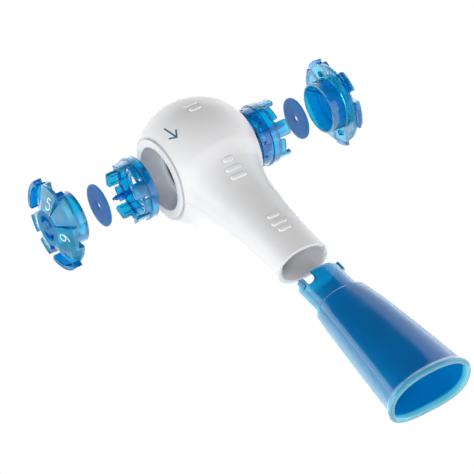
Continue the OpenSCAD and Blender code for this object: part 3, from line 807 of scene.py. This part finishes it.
def cage_fingers(turn, edge):
    """Low and high fingers in turn, with two shallow ribs inside each high one."""
    step = 360 / FINGERS
    half = step / 4 - math.degrees(SLOT_W / (CROWN_IN + CROWN_OUT) * 2) / 2
    shapes = []
    for i in range(FINGERS):
        for (tip, corner), mid in ((LOW_FINGER, turn + i * step), (HIGH_FINGER, turn + (i + 0.5) * step)):
            shapes.append(bent_block(CROWN_IN, CROWN_OUT, mid - half, mid + half, FINGER_FOOT, tip, edge, corner))
        for at in (mid - RIB_PLACE * half, mid + RIB_PLACE * half):
            span = (CROWN_IN - RIB_OUT, CROWN_IN + RIB_IN, at - RIB_HALF, at + RIB_HALF, RIB_FOOT, RIB_TOP)
            shapes.append(bent_block(*span, edge=0.2, top=0.3, rows=8, across=4))
    return shapes


def cage_spoke(angle, reach):
    bar = rounded([[0, -SPOKE_HALF], [reach, -SPOKE_HALF], [reach, SPOKE_HALF], [0, SPOKE_HALF]], 0.1, 3)
    rings = [np.column_stack([bar[:, 0], bar[:, 1] * k, np.full(len(bar), z)]) for z, k in SPOKE_STEPS]
    return capped(turned(np.array(rings), angle))


def bleed_hole(angle):
    points, faces = drill(BLEED_R, 0, 0, BLEED_FROM, BLEED_TO, 24)
    points = turned(points[:, ::-1], angle) + [0, 0, BLEED_Z]
    return points, outward(points, faces)


class TRAINER_OT_cages(bpy.types.Operator):
    """Make the two valve cages: ring, crown of fingers, seat, spokes and centre post"""

    bl_idname = "trainer.cages"
    bl_label = "Valve cages"

    def execute(self, context):
        edge = context.scene.trainer_sizes.edge_round
        for name, side in SIDES:
            turn = CAGE_TURN[name]
            shapes = cage_fingers(turn, edge)
            shapes += [revolve(rounded(SEAT_PROFILE, 0.25), 120), revolve(rounded(POST_PROFILE), 48)]
            spokes = [math.radians(turn + i * 360 / FINGERS) for i in range(FINGERS)]
            shapes += [cage_spoke(angle, SPOKE_REACH[name]) for angle in spokes]
            bleeds = [math.radians(turn + (i + 0.4) * 360 / BLEED_HOLES) for i in range(BLEED_HOLES) if side > 0]
            add_port_piece(
                f"valve_cage_{name}", [cage_ring(side, edge)], side, CAGE_STAND, "thin_blue", f"cage_{name}_body",
                [f"cage_{name}"], cage_depth, [bleed_hole(angle) for angle in bleeds], shapes)
        return {"FINISHED"}


# ---------------------------------------------------------------- dials

HUB_R = 8.6
HUB_H = 7.5
FLANGE_R = 19.3
WING_R = 21.3
WING_FOOT = 0.9
WING_ROOT = FLANGE_R - 0.66
ROOT_R = HUB_R * 0.9
FAR_R = WING_R * 1.4
LOW_CONE = ((HUB_R, HUB_R * 1.58, FLANGE_R), (HUB_H * 0.945, HUB_H * 0.52, 1.4))
HIGH_CONE = ((HUB_R, FLANGE_R - 0.11), (HUB_H, HUB_H * 0.59))
DIAL_COLS = 720


def pair(g):
    """Two narrow facets on either side of the angle g."""
    return [[g - 27.5, g - 4.5, g - 47, g - 1.6], [g + 4.5, g + 27.5, g + 1.6, g + 47]]


# degrees of the two side lines at the far circle, then at the root circle
FACETS = {
    "inhale": [[-9, 25, -18, 38], [272, 298, 250, 314]] + pair(140),
    "exhale": [
        [82, 107, 62, 107.9], [112, 147, 111.1, 159], [192, 220, 180, 226.9],
        [237, 272, 230.1, 285], [322, 348, 308, 362]],
}
BROAD_FACETS = {"inhale": FACETS["inhale"][:2], "exhale": []}
VENTS = {"inhale": ((-39, 81), (155, 252)), "exhale": ((-22, 102), (158, 282))}
VENT_SPAN = (4.6, 9.4)
POCKETS = {"inhale": (47, 205), "exhale": (146, 322)}
POCKET_R, POCKET_W, POCKET_HALF = 14.38, 2.89, 5.4
POCKET_SPAN = (-1.0, 1.87)
RELIEF_R, RELIEF_MARGIN = 14.24, 3
RELIEF_SPAN = (-1.0, 2.885)
WING_HIGH = {"inhale": 4.875, "exhale": 2.475}
WINGS = {"inhale": [[-16, -8.5], [45, 102], [176, 238]] + pair(140), "exhale": FACETS["exhale"]}


def low_cone(r):
    return np.interp(r, *LOW_CONE)


def high_cone(r):
    return np.interp(r, *HIGH_CONE)


def dial_tint_and_painted_shade(p):
    """Under one wall on the face, deeper in the rim blocks, and painted shade on the sides of the facets and the walls
    of the vents.
    """
    r, z = np.hypot(p[:, 0], p[:, 1]), p[:, 2]
    wall = 0.75 + 1.25 * np.clip((r - 19.4) / 0.6, 0, 1)
    up = (z - low_cone(r)) / (high_cone(r) - low_cone(r))
    # painted shade on the steep sides of the raised facets
    wall = np.where((r > HUB_R + 0.3) & (r < FLANGE_R - 0.3) & (up > 0.06) & (up < 0.9), 2.6, wall)
    # painted shade on the walls of the vents and under the hub plate
    return np.where((r < 7.6) & (z < HUB_H - 0.2) & (z > 5.9), 2.6, wall)


def dial_top(r, t, name):
    """Height of the face: the low cone, lifted to the high cone inside each facet's side lines, and the flat hub."""
    x, y = r * np.cos(t), r * np.sin(t)
    lift = np.zeros_like(r)
    for facet in FACETS[name]:
        a0, a1, h0, h1 = np.radians(facet)
        gaps = []
        for h, a, sign in ((h0, a0, 1), (h1, a1, -1)):
            p, q = polar(ROOT_R, h), polar(FAR_R, a)
            d = (q - p) / np.linalg.norm(q - p)
            gaps.append(sign * (d[0] * (y - p[1]) - d[1] * (x - p[0])))
        mid = (a0 + a1) / 2
        ahead = x * math.cos(mid) + y * math.sin(mid) > 0
        lift = np.maximum(lift, np.where(ahead, soft_step(-np.minimum(*gaps), 0.16), 0))
    low = low_cone(r)
    hub = soft_step(r - HUB_R, 0.12)
    return (low + (high_cone(r) - low) * lift) * (1 - hub) + HUB_H * hub


def dial_shape(name):
    """Polar grid: rows run over the face to the rim, round it, and back along the underside and the stepped bore."""
    t = np.arange(DIAL_COLS) / DIAL_COLS * TAU
    face_r = np.concatenate([
        [0.9, 1.0], np.linspace(1.3, 8.3, 8), np.linspace(8.42, 8.85, 7), np.linspace(9.2, 18.9, 34), [19.1]])
    # radius and share of the face's height, then radius and height
    rim = ((19.22, 0.96), (19.3, 0.85), (19.3, 0.25), (19.22, 0.05), (19.05, 0.0))
    under = (
        (18.0, 0), (12.6, 0), (12.42, 0.08), (12.35, 0.3), (12.35, 2.8),
        (7.66, 2.8), (7.66, 6.0), (0.9, 6.0), (0.9, 6.4))
    face_r, around = np.meshgrid(face_r, t, indexing="ij")
    face = dial_top(face_r, around, name)
    face[0] -= 0.12
    rim_top = dial_top(np.full(DIAL_COLS, FLANGE_R - 0.1), t, name)
    r = np.vstack([face_r] + [np.full(DIAL_COLS, float(at)) for at, _ in rim + under])
    z = np.vstack([face] + [rim_top * k for _, k in rim] + [np.full(DIAL_COLS, float(height)) for _, height in under])
    points = polar(r, t, z).reshape(-1, 3)
    return points, outward(points, grid_faces(len(r), DIAL_COLS, True, True))


def arc_slot(r, w, deg0, deg1, z0, z1, steps=48):
    """Curved slot of width w, whose half width a distance d past either end is sqrt(w^2 / 4 - d^2)."""
    d = w / 2 * np.sin(np.radians(np.linspace(-88, 0, 10)))
    middle = np.radians(np.linspace(deg0, deg1, steps))
    run = np.concatenate([middle[0] + d / r, middle[1:-1], middle[-1] - d[::-1] / r])
    end = np.sqrt(w * w / 4 - d * d)
    half = np.concatenate([end, np.full(steps - 2, w / 2), end[::-1]])
    return walled(polar(r - half, run), polar(r + half, run), z0, z1)


def relief(facet, n=24):
    """Hollow under a broad facet: between two side lines a margin inside its own, from a circle outwards."""
    a0, a1, h0, h1 = np.radians(np.array(facet) + RELIEF_MARGIN * np.array([1, -1, 1, -1]))
    near, far = [], []
    for h, a in ((h0, a0), (h1, a1)):
        p, q = polar(ROOT_R, h), polar(FAR_R, a)
        d = q - p
        k = (-(p @ d) + math.sqrt((p @ d) ** 2 - (d @ d) * (p @ p - RELIEF_R**2))) / (d @ d)
        near.append(math.atan2(*(p + d * k)[::-1]))
        far.append(q)
    if near[1] < near[0]:
        near[1] += TAU
    k = np.linspace(0, 1, n)[:, None]
    arc_at = near[0] + (near[1] - near[0]) * k[:, 0]
    return walled(polar(RELIEF_R, arc_at), far[0] + (far[1] - far[0]) * k, *RELIEF_SPAN)


class TRAINER_OT_dials(bpy.types.Operator):
    """Make the two turning dials with raised facets, rim blocks, curved vents and pockets"""

    bl_idname = "trainer.dials"
    bl_label = "Dials"

    def execute(self, context):
        edge = context.scene.trainer_sizes.edge_round
        for name, side in SIDES:
            wings = [
                bent_block(WING_ROOT, WING_R, wing[0], wing[1], WING_FOOT, WING_HIGH[name], edge, 0.0, 6, 30)
                for wing in WINGS[name]]
            cutters = [arc_slot(VENT_R, VENT_W, a, b, *VENT_SPAN) for a, b in VENTS[name]]
            cutters += [relief(facet) for facet in BROAD_FACETS[name]]
            cutters += [
                arc_slot(POCKET_R, POCKET_W, turn - POCKET_HALF, turn + POCKET_HALF, *POCKET_SPAN, 8)
                for turn in POCKETS[name]]
            add_port_piece(
                f"turning_dial_{name}", [dial_shape(name)], side, DIAL_STAND, "thin_blue", f"dial_{name}_body",
                [f"dial_{name}"], dial_tint_and_painted_shade, cutters, wings, 30)
        return {"FINISHED"}


# ---------------------------------------------------------------- numerals and arrows


def arc(cx, cy, rx, ry, deg0, deg1, n=18):
    t = np.radians(np.linspace(deg0, deg1, n))
    return np.column_stack([cx + rx * np.cos(t), cy + ry * np.sin(t)])


def line(*pts):
    return np.array(pts, float)


# centre lines in a box 0.6 wide and 1 high
DIGITS = {
    1: [line([0.14, 0.8], [0.36, 1.0], [0.36, 0.0])],
    2: [np.vstack([arc(0.3, 0.7, 0.27, 0.3, 165, -35), line([0.02, 0.0], [0.6, 0.0])])],
    3: [np.vstack([arc(0.28, 0.75, 0.25, 0.25, 140, -80), arc(0.28, 0.26, 0.3, 0.26, 80, -145)])],
    4: [line([0.44, 0.0], [0.44, 1.0], [0.02, 0.3], [0.62, 0.3])],
    5: [np.vstack([line([0.54, 1.0], [0.13, 1.0], [0.09, 0.55]), arc(0.28, 0.32, 0.3, 0.32, 125, -145)])],
    6: [np.vstack([arc(0.62, 0.36, 0.6, 0.66, 108, 172), arc(0.3, 0.3, 0.28, 0.3, 172, 532, 30)])],
}
DIGIT_MIDDLE = [0.31, 0.5]
# polar place on the dial in degrees, in the port frame
NUMERALS = {
    "inhale": {1: 200, 2: 156, 3: 124, 4: 80, 5: 1, 6: 283},
    "exhale": {1: 335, 2: 94.5, 3: 129.5, 4: 206, 5: 254.5},
}
NUMERAL_R = 13.2
NUMERAL_LIFT, MARK_LIFT = 0.05, 0.06
NUMERAL_STEP, MARK_STEP = 0.22, 0.25
# across a stroke: place over the half width, and height over the lift
STROKE = ((-1, 0), (-0.8, 0.8), (0, 1), (0.8, 0.8), (1, 0), (0, -1.0))
# before a stroke's end: place past it and share of the width
STROKE_ENDS = ((-0.95, 0.31), (-0.6, 0.8))
# middle of each mark as a direction from the ball's centre, the way it points, width in mm, finish, strokes in mm
MARKS = (
    ("arrow_inhale", (-0.536, -0.02, 0.844), (0.1, -1.0, 0.12), 0.85, "print_teal",
     ([[-4.2, 0.0], [4.2, 0.0]], [[1.5, 2.4], [4.2, 0.0], [1.5, -2.4]])),
    ("chevron_inhale", (-0.645, 0.025, 0.764), (-1.0, 0.0, -0.84), 0.45, "housing_white",
     ([[-0.6, 1.1], [0.6, 0.0], [-0.6, -1.1]],)),
    ("arrow_exhale", (0.616, -0.065, 0.785), (0.1, -1.0, 0.0), 0.6, "housing_white",
     ([[-3.6, 0.0], [3.6, 0.0]], [[1.3, 2.0], [3.6, 0.0], [1.3, -2.0]])),
)


def dense(path, step):
    """Path with points at most about a step apart."""
    out = [path[:1]]
    for a, b in zip(path[:-1], path[1:]):
        n = max(1, int(np.linalg.norm(b - a) / step))
        out.append(a + (b - a) * (np.arange(1, n + 1) / n)[:, None])
    return np.vstack(out)


def ribbon(path, width, lift):
    """Raised stroke: a low arch carried along a flat path, with round ends, in (u, v, height above the skin)."""
    d = np.gradient(path, axis=0)
    d /= np.maximum(np.linalg.norm(d, axis=1, keepdims=True), 1e-9)
    side = np.column_stack([-d[:, 1], d[:, 0]])
    w = width / 2
    rows = [(path[0] + d[0] * w * k, side[0], share) for k, share in STROKE_ENDS]
    rows += [(p, n, 1.0) for p, n in zip(path, side)]
    rows += [(path[-1] - d[-1] * w * k, side[-1], share) for k, share in STROKE_ENDS[::-1]]
    pts = np.array([[*(p + n * (a * w * share)), h * lift] for p, n, share in rows for a, h in STROKE])
    caps = np.array([[i, 5, i + 1, i + 1] for i in range(4)])
    last = (len(rows) - 1) * len(STROKE)
    return pts, np.vstack([grid_faces(len(rows), len(STROKE)), caps[:, ::-1], caps + last])


class TRAINER_OT_numerals(bpy.types.Operator):
    """Put the white numerals on the raised facets of the dials"""

    bl_idname = "trainer.numerals"
    bl_label = "Numerals"

    def execute(self, context):
        sizes = context.scene.trainer_sizes
        for name, side in SIDES:
            shapes = []
            for digit, place in NUMERALS[name].items():
                c, s = math.cos(math.radians(place)), math.sin(math.radians(place))
                for path in DIGITS[digit]:
                    centred = dense((path - DIGIT_MIDDLE) * sizes.numeral_height, NUMERAL_STEP)
                    pts, faces = ribbon(centred, sizes.numeral_stroke, NUMERAL_LIFT)
                    x = c * (NUMERAL_R + pts[:, 1]) + s * pts[:, 0]
                    y = s * (NUMERAL_R + pts[:, 1]) - c * pts[:, 0]
                    z = dial_top(np.hypot(x, y), np.arctan2(y, x), name) + pts[:, 2]
                    shapes.append((np.column_stack([x, y, z]), faces))
            face_outwards(add_port_piece(
                f"numerals_{name}", shapes, side, DIAL_STAND, "numeral_white", f"dial_{name}_body"))
        return {"FINISHED"}


class TRAINER_OT_marks(bpy.types.Operator):
    """Put a plain arrow and a chevron by the ports, as raised strokes laid on the ball"""

    bl_idname = "trainer.marks"
    bl_label = "Arrows"

    def execute(self, context):
        for name, middle, way, width, material, strokes in MARKS:
            up = np.array(middle) / np.linalg.norm(middle)
            u = np.array(way) - up * (up @ np.array(way))
            u /= np.linalg.norm(u)
            v = np.cross(up, u)
            shapes = []
            for path in strokes:
                pts, faces = ribbon(dense(np.array(path, float), MARK_STEP), width, MARK_LIFT)
                place = up + (pts[:, :1] * u + pts[:, 1:2] * v) / BULB_R
                place /= np.linalg.norm(place, axis=1, keepdims=True)
                shapes.append((place * (BULB_R - 0.02 + pts[:, 2:3]), faces))
            obj = make_object(name, *join(shapes))
            face_outwards(obj)
            place_in_row(obj)
            finish_piece(obj, material, "housing")
        return {"FINISHED"}


# ---------------------------------------------------------------- mouthpiece

# share of the length, of the end half width and half depth, and the section's power above and below
MOUTH_TABLE = np.array([
    [0, 0.622, 0.731, 2.2, 2.2], [0.05, 0.641, 0.744, 2.35, 2.35], [0.15, 0.674, 0.77, 2.6, 2.6],
    [0.3, 0.724, 0.808, 2.7, 2.75], [0.5, 0.79, 0.85, 2.65, 2.8], [0.7, 0.858, 0.888, 2.5, 2.8],
    [0.88, 0.918, 0.918, 2.35, 2.8], [0.95, 0.945, 0.935, 2.25, 2.8]])
LIP_TABLE = np.array([
    [0.958, 0.978, 0.972, 2.2, 2.8], [0.968, 0.993, 0.992, 2.2, 2.8], [0.979, 1, 1, 2.2, 2.8],
    [0.99, 0.993, 0.992, 2.2, 2.8], [0.997, 0.978, 0.972, 2.2, 2.8], [1, 0.955, 0.945, 2.2, 2.8]])
SHOULDER = -NECK_LEN - SHOULDER_GAP
BELL_RUN = MOUTH_LEN - SHOULDER_GAP
SPIGOT_TIP = SHOULDER + SPIGOT_LEN
SPIGOT_A = NECK_A - NECK_WALL_A - SPIGOT_GAP
SPIGOT_B = NECK_B - NECK_WALL_B - SPIGOT_GAP
NOTCH_HALF, NOTCH_DEEP = 2.1, 5.6
NOTCH_TURN = math.radians(50)
NUB_TURN = math.radians(17.5)
NUB_REACH = SPIGOT_A * 0.98 + 0.7
NUB_LONG, NUB_WIDE = 2.27, 1.26
GROOVE_WIDE = 1.51


def mouth_tint_and_painted_light(p):
    """Painted highlight round the lip, painted reflection paling the flanks, and painted shade deep inside the bell,
    where the wall is below 0.93 of the outer section.
    """
    s = np.clip((SHOULDER - p[:, 1]) / BELL_RUN, 0, 1)
    share_a, share_b = smooth_table(MOUTH_TABLE, s).T[:2]
    across, high = np.abs(p[:, 0]) / (share_a * MOUTH_A), np.abs(p[:, 2]) / (share_b * MOUTH_B)
    inside = (across**2.5 + high**2.5 < 0.93**2.5) & (s > 0.02)
    # painted highlight on the lip, painted reflection on the flanks, painted shade inside the bell
    lip = np.clip((s - 0.945) / 0.02, 0, 1)
    flank = 1 - np.clip(high / 0.8, 0, 1) ** 2
    return np.where(inside, 1.6, 1.1 - 0.5 * flank) * (1 - lip) + 0.3 * lip


def grown(steps, a, b, up=2.2, down=2.2):
    """Stations at (place, growth) of a section with half sizes a and b."""
    return [[y, a + more, b + more, up, down] for y, more in steps]


def bell(table, at, wall=0.0):
    """Stations of the bell at shares of its length, a wall inside the outer skin."""
    rows = smooth_table(table, at)
    a, b = rows[:, 0] * MOUTH_A - wall, rows[:, 1] * MOUTH_B - wall
    return np.column_stack([SHOULDER - at * BELL_RUN, a, b, rows[:, 2:]])


def mouthpiece_loop():
    """Stations outside from the spigot's end to the lip, round it, and back inside to the spigot's end."""
    tip, end = SPIGOT_TIP, SHOULDER - BELL_RUN
    outside = [(tip, -0.9), (tip - 0.08, -0.5), (tip - 0.4, -0.22), (tip - 1.1, 0)]
    outside += [(y, 0) for y in np.linspace(tip - 2.0, SHOULDER + 0.25, 26)]
    outside += [(SHOULDER + 0.06, 0.08), (SHOULDER, 0.3)]
    root = [(SHOULDER, -0.75), (SHOULDER - 0.12, -0.3), (SHOULDER - 0.45, -0.05)]
    turn_in = [(end, -0.9), (end + 0.15, -1.3), (end + 0.6, -1.58)]
    inside = [(y, -SPIGOT_WALL) for y in np.linspace(SHOULDER - 1.1, tip - 0.4, 30)]
    inside += [(tip - 0.05, 0.15 - SPIGOT_WALL)]
    lip = np.vstack([MOUTH_TABLE[-1:], LIP_TABLE])
    return np.vstack([
        grown(outside, SPIGOT_A, SPIGOT_B),
        grown(root, MOUTH_TABLE[0, 1] * MOUTH_A, MOUTH_TABLE[0, 2] * MOUTH_B),
        bell(MOUTH_TABLE, np.linspace(0.014, 0.94, 110)),
        bell(lip, np.linspace(0.952, 1, 26)),
        grown(turn_in, MOUTH_A * LIP_TABLE[-1, 1], MOUTH_B * LIP_TABLE[-1, 2], 2.2, 2.8),
        bell(MOUTH_TABLE, np.linspace(0.975, 0.1, 90), MOUTH_WALL),
        grown(inside, SPIGOT_A, SPIGOT_B)])


def mouthpiece_shape(columns=200):
    """Closed surface from the loop of stations of place, half width, half depth and the power above and below."""
    t = (np.arange(columns) + 0.5) / columns * TAU
    stations = mouthpiece_loop()
    y, a, b, n_up, n_down = [stations[:, i : i + 1] for i in range(5)]
    points = sections(y, a, b, np.where(np.sin(t)[None, :] > 0, n_up, n_down), t).reshape(-1, 3)
    return points, outward(points, grid_faces(len(stations), columns, True, True))


def notch_tool():
    """U-shaped cutter for the notch in the spigot, a slot with a round end carried outwards from the axis."""
    t = np.radians(np.linspace(180, 360, 17))
    w = NOTCH_HALF
    ring = np.column_stack([w * np.cos(t), SPIGOT_TIP - NOTCH_DEEP + w + w * np.sin(t)])
    ring = np.vstack([ring, [[w, SPIGOT_TIP + 3], [-w, SPIGOT_TIP + 3]]])
    rings = [np.column_stack([ring, np.full(len(ring), z)]) for z in (4.0, 14.0)]
    return capped(turned(np.array(rings), NOTCH_TURN, 0, 2))


def spun(points, side):
    """Points turned about the long axis to the right or left nub's direction."""
    return turned(points, NUB_TURN if side > 0 else math.pi - NUB_TURN, 0, 2)


def nub_shape(side):
    """Catch nub: a small block with rounded edges, from inside the wall to its height outside."""
    y = -NECK_LEN + SPIGOT_LEN - 2.52 * 0.95
    x0, x1, y0, y1 = NUB_REACH * 0.84, NUB_REACH, y - NUB_LONG, y + NUB_LONG
    outline = rounded([(x0, y0, 0), (x1, y0, 0.4), (x1, y1, 0.4), (x0, y1, 0)], steps=4)
    rings = []
    for z, k in ((-NUB_WIDE, 0.9), (-1.05, 1.0), (1.05, 1.0), (NUB_WIDE, 0.9)):
        rings.append(np.column_stack([x0 + (outline[:, 0] - x0) * k, outline[:, 1], np.full(len(outline), z)]))
    return capped(spun(np.array(rings), side))


def nub_groove(side):
    """Straight groove that a nub runs in, inside the end of the handle."""
    x = (NUB_REACH * 0.6, NUB_REACH + SPIGOT_GAP)
    y = (-NECK_LEN - 1.0, -NECK_LEN + SPIGOT_LEN + 1.0)
    points = spun(np.array(list(itertools.product(x, y, (-GROOVE_WIDE, GROOVE_WIDE)))), side)
    faces = np.array([[0, 1, 3, 2], [4, 6, 7, 5], [0, 4, 5, 1], [2, 3, 7, 6], [0, 2, 6, 4], [1, 5, 7, 3]])
    return points, outward(points, faces)


class TRAINER_OT_mouthpiece(bpy.types.Operator):
    """Make the flared oval mouthpiece with its spigot, notch and catch nubs"""

    bl_idname = "trainer.mouthpiece"
    bl_label = "Mouthpiece"

    def execute(self, context):
        obj = make_object("oval_mouthpiece", *mouthpiece_shape())
        cut(obj, [notch_tool()])
        attach(obj, [nub_shape(side) for side in (-1, 1)])
        set_depth(obj, mouth_tint_and_painted_light)
        place_in_row(obj, lambda p: p - [0, MOUTH_OUT, 0])
        finish_piece(obj, "clear_blue", "mouthpiece_body", ["mouthpiece"], 40)
        return {"FINISHED"}


# ---------------------------------------------------------------- stage, in metres

CAMERA_AT = (-0.461772, -0.709936, 0.701393)
CAMERA_TURN = (51.6213, 3.0302, -33.8855)
FOCAL_PIXELS = 2516.51
FRAME_PIXELS = 474
SENSOR = 36.0
FLOOR_HALF = 3.0
# how bright the white panels round the object look in a reflection: level with it, and at their top edge
GLOSS_LOW = 3.8
GLOSS_HIGH = 1.4
GLOSS_FLOOR = 2.2
# the panels' upper edge as a range of z - 0.2 * x in the mirrored direction, and what is left above it
PANEL_LEAN = -0.2
PANEL_EDGE = (0.55, 0.61)
PANEL_REST = 0.03
# the room's light, by height of direction
ROOM_HEIGHTS = (0.12, 0.55)
ROOM_LEVELS = (0.9, 0.12)
# painted shadow: a dark patch on the floor, seen only in the dial's face
REFLECTED_SHADOW_AT = (-0.115, 0.095, 0.0)
REFLECTED_SHADOW_R = 0.045
REFLECTED_SHADOW_LEVEL = 0.4
LAMPS = (("key", (-1.05, 0.0, 0.42), 5.0), ("front", (-0.65, -0.85, 0.6), 6.0), ("side", (1.0, -0.35, 0.3), 5.0))
LAMP_TARGET = (0, 0, 0.03)
LAMP_SIZE = 0.5


def spread(tree, value, places, levels):
    """The value taken from the range of places to the range of levels."""
    keys = ("Value", "From Min", "From Max", "To Min", "To Max")
    return add_node(tree, "MapRange", dict(zip(keys, (value, *places, *levels)))).outputs["Result"]


def maths(tree, operation, *values):
    return add_node(tree, "Math", dict(enumerate(values)), operation=operation).outputs[0]


def first_reflection(tree, path):
    """1 for a reflection off an outer skin, 0 for camera rays and for light that has crossed a tinted wall."""
    once = maths(tree, "LESS_THAN", path["Transmission Depth"], 0.5)
    return maths(tree, "MULTIPLY", once, path["Is Glossy Ray"])


def add_floor():
    """White floor that glows evenly to the camera and in mirrors, but for a patch of painted shadow seen in
    reflections, and takes light like paper.
    """
    s = FLOOR_HALF
    corners = np.array([[-s, -s, 0], [s, -s, 0], [s, s, 0], [-s, s, 0]])
    floor = make_object("floor", corners, np.array([[0, 1, 2, 3]]))
    mat, tree, paper = new_material("floor_white")
    set_inputs(tree, paper, {"Base Color": grey(0.9), "Roughness": 0.9, "Specular IOR Level": 0.1})
    path = add_node(tree, "LightPath").outputs
    here = add_node(tree, "TexCoord").outputs["Object"]
    away = add_node(tree, "VectorMath", {0: here, 1: REFLECTED_SHADOW_AT}, operation="DISTANCE").outputs["Value"]
    # painted shadow: the floor's glow drops to 0.4 in a disc, seen only in reflections
    reflected_shadow = spread(tree, away, (REFLECTED_SHADOW_R * 0.8, REFLECTED_SHADOW_R * 1.2), (REFLECTED_SHADOW_LEVEL, GLOSS_FLOOR))
    level = spread(tree, first_reflection(tree, path), (0.0, 1.0), (1.0, reflected_shadow))
    glow = add_node(tree, "Emission", {"Color": grey(1), "Strength": level})
    seen = maths(tree, "MAXIMUM", path["Is Camera Ray"], path["Is Glossy Ray"])
    seen = maths(tree, "MAXIMUM", seen, path["Is Transmission Ray"])
    mix = add_node(tree, "MixShader", {"Fac": seen, 1: paper.outputs["BSDF"], 2: glow.outputs["Emission"]})
    tree.links.new(mix.outputs["Shader"], tree.nodes["Material Output"].inputs["Surface"])
    floor.data.materials.append(mat)


def add_world(scene):
    """Soft white room, pure white to the camera, with bright panels that only a first reflection sees."""
    scene.world = bpy.data.worlds.new("studio")
    scene.world.use_nodes = True
    tree = scene.world.node_tree
    way = add_node(tree, "TexCoord").outputs["Generated"]
    parts = add_node(tree, "SeparateXYZ", {"Vector": way}).outputs
    path = add_node(tree, "LightPath").outputs
    room = spread(tree, parts["Z"], ROOM_HEIGHTS, ROOM_LEVELS)
    lean = maths(tree, "MULTIPLY_ADD", parts["X"], PANEL_LEAN, parts["Z"])
    edge = spread(tree, lean, PANEL_EDGE, (1.0, PANEL_REST))
    fade = spread(tree, parts["Z"], (0.0, 0.6), (GLOSS_LOW, GLOSS_HIGH))
    panel = maths(tree, "MULTIPLY", edge, fade)
    pick = add_node(tree, "Mix", {0: first_reflection(tree, path), 2: room, 3: panel}).outputs[0]
    level = maths(tree, "MAXIMUM", path["Is Camera Ray"], pick)
    set_inputs(tree, tree.nodes["Background"], {"Color": grey(1), "Strength": level})


def add_lamp(scene, name, at, power):
    """Soft square lamp aimed at the object, left out of mirrors."""
    data = bpy.data.lights.new(name, "AREA")
    data.energy = power
    data.size = LAMP_SIZE
    lamp = bpy.data.objects.new(name, data)
    scene.collection.objects.link(lamp)
    lamp.location = at
    lamp.visible_glossy = False
    lamp.rotation_mode = "QUATERNION"
    lamp.rotation_quaternion = (Vector(LAMP_TARGET) - Vector(at)).to_track_quat("-Z", "Y")


def add_camera(scene):
    data = bpy.data.cameras.new("camera")
    data.sensor_width = SENSOR
    data.lens = SENSOR * FOCAL_PIXELS / FRAME_PIXELS
    data.clip_start = 0.05
    data.clip_end = 20.0
    scene.camera = bpy.data.objects.new("camera", data)
    scene.collection.objects.link(scene.camera)
    scene.camera.location = CAMERA_AT
    scene.camera.rotation_euler = [math.radians(v) for v in CAMERA_TURN]


class TRAINER_OT_stage(bpy.types.Operator):
    """Set up the floor, the soft lamps, the world and the camera"""

    bl_idname = "trainer.stage"
    bl_label = "Stage"

    def execute(self, context):
        context.scene.view_settings.view_transform = "Standard"
        add_floor()
        add_world(context.scene)
        for name, at, power in LAMPS:
            add_lamp(context.scene, name, at, power)
        add_camera(context.scene)
        return {"FINISHED"}


# ---------------------------------------------------------------- panel and run

OPERATORS = (
    TRAINER_OT_stage,
    TRAINER_OT_housing,
    TRAINER_OT_port_rings,
    TRAINER_OT_cages,
    TRAINER_OT_discs,
    TRAINER_OT_sleeves,
    TRAINER_OT_dials,
    TRAINER_OT_numerals,
    TRAINER_OT_marks,
    TRAINER_OT_mouthpiece,
)


class TRAINER_PT_panel(bpy.types.Panel):
    """Sizes, colours and building steps of the breathing trainer"""

    bl_label = "Breathing trainer"
    bl_idname = "TRAINER_PT_panel"
    bl_space_type = "VIEW_3D"
    bl_region_type = "UI"
    bl_category = "Trainer"

    def draw(self, context):
        layout = self.layout
        for group in (context.scene.trainer_sizes, context.scene.trainer_colours):
            box = layout.box()
            for key in group.__annotations__:
                box.prop(group, key)
        for op in OPERATORS:
            layout.operator(op.bl_idname)


CLASSES = (TrainerSizes, TrainerColours) + OPERATORS + (TRAINER_PT_panel,)


def register():
    for cls in CLASSES:
        bpy.utils.register_class(cls)
    bpy.types.Scene.trainer_sizes = PointerProperty(type=TrainerSizes)
    bpy.types.Scene.trainer_colours = PointerProperty(type=TrainerColours)


def unregister():
    del bpy.types.Scene.trainer_colours
    del bpy.types.Scene.trainer_sizes
    for cls in reversed(CLASSES):
        bpy.utils.unregister_class(cls)


def main():
    register()
    for op in OPERATORS:
        group, name = op.bl_idname.split(".")
        getattr(getattr(bpy.ops, group), name)()


if __name__ == "__main__":
    main()
